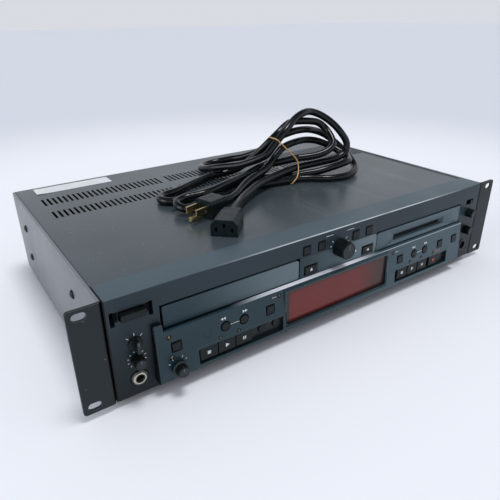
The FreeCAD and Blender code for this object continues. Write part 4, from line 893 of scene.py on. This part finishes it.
# Painted shade as dark outlines round keys, lamps, headphone jack and window
OUTLINE = 0.6
SQUARE_KEYS = [-167.8, -79.6, 84.2, 148.2, 172.8]
ROUND_KEYS = [(-124.2, 35.6), (-106.4, 35.6), (106.0, UPPER_ROW), (123.2, UPPER_ROW)]
STRIP_KEYS = [-36.2, -19.1, 22.8, 40.2]
DOOR_KEYS = {"open_close": -30.8, "eject": 40.4}
LAMP_HOLE = 1.45
LAMP_OUTLINE = 0.5
JACK_OUTLINE = 1.9
WINDOW_GAP = 0.3
WINDOW_OUTLINE = 0.7

# Lamps: middle and colour
AMBER = "8f5e2b"
RED = "8f2a27"
DARK = "3a1512"
LAMPS = [
    (-173.2, 44.4, AMBER), (-172.8, 26.8, AMBER), (-129.6, 27.0, DARK), (-112.2, 27.0, DARK),
    (-70.0, 44.8, RED), (73.6, 44.2, RED), (100.4, 27.2, DARK), (118.2, 27.0, DARK), (138.2, 27.0, DARK),
]
LAMP_RADIUS = 1.3
LAMP_BULGE = 0.6
LAMP_SEAT = 0.15


def gap_shade_outlines(dark):
    """Painted shade on the rims of the holes round keys, lamps, headphone jack and window."""
    marks = Marks()
    for x in SQUARE_KEYS:
        marks.border(x, UPPER_ROW, SQUARE, SQUARE, KEY_GAP, OUTLINE, fascia_face)
    hole = ROUND_KEY / 2 + KEY_GAP
    for x, z in ROUND_KEYS:
        marks.ring(x, z, hole, hole + OUTLINE, fascia_face)
    for x in STRIP_KEYS:
        marks.border(x, STRIP_Z, STRIP_KEY_WIDTH, STRIP_KEY_HEIGHT, KEY_GAP, OUTLINE, rack_face)
    for x in DOOR_KEYS.values():
        marks.border(x, DOOR_KEY_Z, DOOR_KEY_WIDTH, DOOR_KEY_HEIGHT, KEY_GAP, OUTLINE, rack_face)
    for x, z, colour in LAMPS:
        marks.ring(x, z, LAMP_HOLE, LAMP_HOLE + LAMP_OUTLINE, fascia_face)
    marks.ring(LEFT_COLUMN, JACK_Z, JACK_RING, JACK_RING + JACK_OUTLINE, rack_face)
    width = WINDOW_RIGHT - WINDOW_LEFT
    height = WINDOW_TOP - WINDOW_BOTTOM
    marks.border(WINDOW_LEFT + width / 2, WINDOW_BOTTOM + height / 2, width, height,
                 WINDOW_GAP, WINDOW_OUTLINE, fascia_face)
    marks.finish("gap_shade_outlines", dark, "deck")


# Bars of painted shade in the power button's recess: shift from the button's middle, width and height
RECESS_BARS = [(-12.2, 0.6, 2.6, 7.4), (11.8, 0.6, 2.6, 7.4), (0.0, 4.0, 26.4, 0.9)]


def power_recess_shade(dark):
    """Painted shade in the recess between the power button and the slots at its sides."""
    marks = Marks()
    for x, z, width, height in RECESS_BARS:
        marks.bar(POWER_X + x, POWER_Z + z, width, height, rack_face)
    marks.finish("power_recess_shade", dark, "deck")


# Signs on the transport keys
STOP_SIZE = 2.9
PLAY_SIZE = 3.4
PAUSE_SHIFT = 0.9
PAUSE_WIDTH = 1.0
PAUSE_HEIGHT = 3.0
RECORD_RADIUS = 1.7


def stop_mark(marks, x, face):
    marks.bar(x, TRANSPORT_Z, STOP_SIZE, STOP_SIZE, face)


def play_mark(marks, x, face):
    marks.triangle(x, TRANSPORT_Z, PLAY_SIZE, 0, face)


def pause_mark(marks, x, face):
    for shift in (-PAUSE_SHIFT, PAUSE_SHIFT):
        marks.bar(x + shift, TRANSPORT_Z, PAUSE_WIDTH, PAUSE_HEIGHT, face)


def record_mark(marks, x, face):
    marks.disc(x, TRANSPORT_Z, RECORD_RADIUS, face)


TRANSPORT_MARKS = [
    ("cd_stop", -140.2, stop_mark), ("cd_play", -123.2, play_mark), ("cd_ready", -106.2, pause_mark),
    ("md_stop", 90.6, stop_mark), ("md_play", 106.6, play_mark), ("md_ready", 122.8, pause_mark),
    ("md_record", 141.4, record_mark),
]
RECORD_LINE = (145.6, 27.2, 8.6, 1.0)
DOOR_SIGN_Z = DOOR_KEY_Z + 0.2
DOOR_SIGN_SIZE = 2.9


def key_marks(white, red):
    """Generic transport signs, each riding on its key, and a red line over the record key."""
    marks = Marks()
    marks.bar(*RECORD_LINE, fascia_face)
    marks.finish("record_line", red, "deck")
    for key, x, draw in TRANSPORT_MARKS:
        marks = Marks()
        draw(marks, x, flat_face(TRANSPORT_FACE))
        marks.finish(key + "_sign", red if draw is record_mark else white, key + "_button")
    for key, x in DOOR_KEYS.items():
        marks = Marks()
        marks.triangle(x, DOOR_SIGN_Z, DOOR_SIGN_SIZE, 90, flat_face(DOOR_FACE))
        marks.finish(key + "_sign", white, key + "_button")


# Pointer lines: name, body, middle, width, length and reach of the knob
KNOB_POINTERS = [
    ("dial_pointer", "multi_dial", DIAL_X, DIAL_Z + 3.8, 0.9, 5.2, DIAL_REACH),
    ("selector_pointer", "phones_selector", LEFT_COLUMN, SELECTOR_Z + 2.8, 0.6, 3.0, SELECTOR_REACH),
    ("level_pointer", "phones_level_knob", LEFT_COLUMN, LEVEL_Z + 2.2, 0.6, 2.8, LEVEL_REACH),
    ("pitch_pointer", "pitch_knob", PITCH_X, PITCH_Z + 2.2, 0.6, 3.2, PITCH_REACH),
]


def knob_marks(grey):
    """Pointer lines, each riding on its knob."""
    for name, body, x, z, width, length, reach in KNOB_POINTERS:
        marks = Marks()
        marks.bar(x, z, width, length, flat_face(-reach))
        marks.finish(name, grey, body)


def lamp_domes():
    """Rounded tips of the lamps in the holes of the fascia."""
    names = {AMBER: "lamp_amber", RED: "lamp_red", DARK: "lamp_dark"}
    lenses = {colour: lamp_lens(name, colour) for colour, name in names.items()}
    for number, (x, z, colour) in enumerate(LAMPS, start=1):
        dome = bmesh.new()
        bmesh.ops.create_uvsphere(dome, u_segments=16, v_segments=10, radius=LAMP_RADIUS * MM)
        for vert in dome.verts:
            vert.co.y = vert.co.y * LAMP_BULGE
        centre = at(x, fascia_face(z) + LAMP_SEAT, z)
        bmesh.ops.translate(dome, verts=dome.verts[:], vec=centre)
        data = to_data("lamp", dome)
        for polygon in data.polygons:
            polygon.use_smooth = True
        piece("lamp_%d" % number, data, lenses[colour], "deck")


def socket_part(name, place, profile, sides, material):
    """Round part of a socket, turned about the line along y through its place."""
    mesh = bmesh.new()
    turned(mesh, place, (Vector(DEEP), Vector(ACROSS), Vector(UP)), profile, sides)
    turn_outwards(mesh)
    piece(name, to_data(name, mesh), material, "deck")


# Collars of the phono sockets, their profile as (radius, step towards the back)
PHONO_COLUMNS = [60, 78, 110, 128, 160, 178]
UPPER_PHONO_Z = 50
LOWER_PHONO_Z = 30
COLLAR_Y = REAR_REACH - 0.3
COLLAR_PROFILE = [(1.55, -2.6), (3.2, -2.6), (3.6, 0.0), (3.3, 0.3), (1.9, 0.3), (1.55, 0.0)]
COLLAR_SIDES = 24


def phono_collars():
    """Coloured insulators round the centre contacts of the phono sockets."""
    white = printed("phono_white", "c9cbc8")
    red = printed("phono_red", "a3241f")
    for column, x in enumerate(PHONO_COLUMNS, start=1):
        for row, (z, paint) in enumerate(((UPPER_PHONO_Z, white), (LOWER_PHONO_Z, red)), start=1):
            name = "phono_%d_%d" % (column, row)
            socket_part(name, (x, COLLAR_Y, z), COLLAR_PROFILE, COLLAR_SIDES, paint)


# Contact pins of the round socket, on a circle in steps of so many degrees from the first
PIN_COUNT = 6
PIN_CIRCLE = 2.8
PIN_FIRST = 30
PIN_STEP = 48
PIN_Y = 5.4
PIN_PROFILE = [(0.2, -3.6), (0.42, -3.3), (0.42, 0.4), (0.2, 0.5)]
PIN_SIDES = 10


def keyboard_contacts(metal):
    """Six contact pins in the round socket at the right."""
    for number in range(PIN_COUNT):
        a = math.radians(PIN_FIRST + PIN_STEP * number)
        x = RIGHT_COLUMN + PIN_CIRCLE * math.sin(a)
        z = KEYBOARD_SOCKET_Z - PIN_CIRCLE * math.cos(a)
        socket_part("contact_%d" % (number + 1), (x, PIN_Y, z), PIN_PROFILE, PIN_SIDES, metal)


# Case screws
SIDE_SCREWS = [(72.0, 27.0), (72.0, 60.0), (236.0, 27.0), (236.0, 60.0)]
COVER_SCREW = (-59.0, 191.0)
SCREW_PROFILE = [(4.0, 0.05), (4.0, 0.55), (3.4, 1.25), (2.3, 1.8), (1.0, 2.05)]
SCREW_SIDES = 24
CROSS_HALF = 1.7
CROSS_WIDTH = 0.34
CROSS_HEIGHT = 2.06
CROSS_LIFT = 0.02
CROSS_DEPTH = 0.3


def screw_places(height):
    """Middle, outward way and first cross way of each head, at a height over its sheet."""
    places = [(Vector((side * (BODY_HALF + height), y, z)), Vector((side, 0, 0)), Vector((0, 0.8, 0.6)))
              for side in (-1, 1) for y, z in SIDE_SCREWS]
    places.append((Vector((*COVER_SCREW, COVER_TOP + height)), Vector(UP), Vector((0.8, 0.6, 0))))
    return places


def screw_heads(metal):
    """Domed heads on the shanks, with their flanges."""
    heads = bmesh.new()
    for centre, out, first in screw_places(0.0):
        turned(heads, centre, (out, first, out.cross(first)), SCREW_PROFILE, SCREW_SIDES)
    turn_outwards(heads)
    data = to_data("screw_heads", heads)
    for polygon in data.polygons:
        polygon.use_smooth = len(polygon.vertices) == 4
    piece("screw_heads", data, metal, "deck")


def screw_crosses(dark):
    """Cross recesses of the screw heads, as dark insets of painted shade."""
    crosses = bmesh.new()
    for centre, out, first in screw_places(CROSS_HEIGHT):
        second = out.cross(first)
        for length, width in ((first, second), (second, first)):
            corners = [centre + length * a * CROSS_HALF + width * b * CROSS_WIDTH
                       for a, b in ((-1, -1), (1, -1), (1, 1), (-1, 1))]
            levels = (out * CROSS_LIFT, out * -CROSS_DEPTH)
            loft(crosses, [[corner + level for corner in corners] for level in levels])
    turn_outwards(crosses)
    piece("screw_crosses", to_data("screw_crosses", crosses), dark, "deck")


# Label on the cover: left, right, front and back
LABEL = (-198.0, -115.0, 256.0, 277.0)
LABEL_COLUMNS = 24
LABEL_ROWS = 8
LABEL_SEAT = 0.08
LABEL_CURL = 0.5
CURLED_CORNER = 0.2
LABEL_THICKNESS = 0.12


def cover_label():
    """Blank paper label near the back of the cover, its front left corner a little raised."""
    left, right, front, back = LABEL
    mesh = bmesh.new()
    grid = []
    for i in range(LABEL_COLUMNS + 1):
        line = []
        for j in range(LABEL_ROWS + 1):
            u = i / LABEL_COLUMNS
            v = j / LABEL_ROWS
            lift = LABEL_CURL * max(0.0, 1 - (u + v) / CURLED_CORNER)
            height = COVER_TOP + LABEL_SEAT + lift
            line.append(mesh.verts.new(at(left + (right - left) * u, front + (back - front) * v, height)))
        grid.append(line)
    for i in range(LABEL_COLUMNS):
        for j in range(LABEL_ROWS):
            mesh.faces.new((grid[i][j], grid[i + 1][j], grid[i + 1][j + 1], grid[i][j + 1]))
    label = piece("cover_label", to_data("cover_label", mesh), label_paper(), "deck")
    thick = label.modifiers.new("thickness", "SOLIDIFY")
    thick.thickness = LABEL_THICKNESS * MM
    thick.offset = 1.0


# Floor, in metres
FLOOR_HALF = 12.0
FLOOR_FADE = (0.5, 1.1)


def make_floor():
    """Pale floor that turns a cooler grey further out."""
    mesh = bmesh.new()
    corners = [(-1, -1), (1, -1), (1, 1), (-1, 1)]
    mesh.faces.new([mesh.verts.new((x * FLOOR_HALF, y * FLOOR_HALF, 0)) for x, y in corners])
    data = to_data("floor", mesh)
    floor = bpy.data.objects.new("floor", data)
    bpy.context.scene.collection.objects.link(floor)
    finish = Finish("floor", "e9ebf1", 0.7, specular=0.2)
    out = finish.length_of(finish.along(ACROSS), finish.along(DEEP))
    finish.tint(finish.ramp(out, *FLOOR_FADE), "cfd3dc")
    data.materials.append(finish.material)


# Soft lamps: name, direction they shine from, strength, spread in degrees
LAMPS_OF_STUDIO = [
    ("key_lamp", (0.2, -0.2, 1.3), 1.4, 18),
    ("side_lamp", (-1.0, 0.1, 0.35), 0.8, 40),
]
SKY_STRENGTH = 0.7
CEILING = 0.12
BACKDROP = 0.87
BACKDROP_HEIGHTS = (0.42, 0.7)


def make_sky():
    """Even pale light, seen in mirrorings as a pale backdrop below a dim ceiling."""
    world = bpy.data.worlds.new("sky")
    world.use_nodes = True
    nodes = Nodes(world.node_tree)
    background = nodes.tree.nodes["Background"]
    background.inputs["Color"].default_value = linear("e6e9f0")
    way = nodes.add("ShaderNodeSeparateXYZ")
    nodes.put(way.inputs[0], nodes.add("ShaderNodeTexCoord").outputs["Generated"])
    backdrop = nodes.ramp(way.outputs["Z"], *BACKDROP_HEIGHTS, BACKDROP, CEILING)
    rays = nodes.add("ShaderNodeLightPath").outputs
    seen = nodes.either(rays["Is Camera Ray"], rays["Is Glossy Ray"], rays["Is Transmission Ray"])
    nodes.put(background.inputs["Strength"], nodes.mix("FLOAT", seen, SKY_STRENGTH, backdrop))
    bpy.context.scene.world = world


def make_lights():
    """Lamp above, and a weaker one from the left."""
    for name, way, strength, spread in LAMPS_OF_STUDIO:
        lamp = bpy.data.lights.new(name, "SUN")
        lamp.energy = strength
        lamp.angle = math.radians(spread)
        holder = bpy.data.objects.new(name, lamp)
        holder.rotation_euler = (-Vector(way)).to_track_quat("-Z", "Y").to_euler()
        bpy.context.scene.collection.objects.link(holder)


def main():
    bpy.context.scene.view_settings.view_transform = "Standard"
    make_camera()
    finishes = dress_frame()
    make_lead(finishes)
    white = printed("ink_white", "dfe3e3")
    red = printed("ink_red", "b8463a")
    panel_marks(white)
    key_marks(white, red)
    knob_marks(printed("ink_grey", "5d6466"))
    black = printed("painted_shade_black", "040506", "0b0d0e", 0.05)
    gap_shade_outlines(black)
    power_recess_shade(black)
    lamp_domes()
    phono_collars()
    keyboard_contacts(finishes["socket_metal"])
    screw_heads(finishes["screw_metal"])
    screw_crosses(black)
    cover_label()
    make_floor()
    make_sky()
    make_lights()


main()
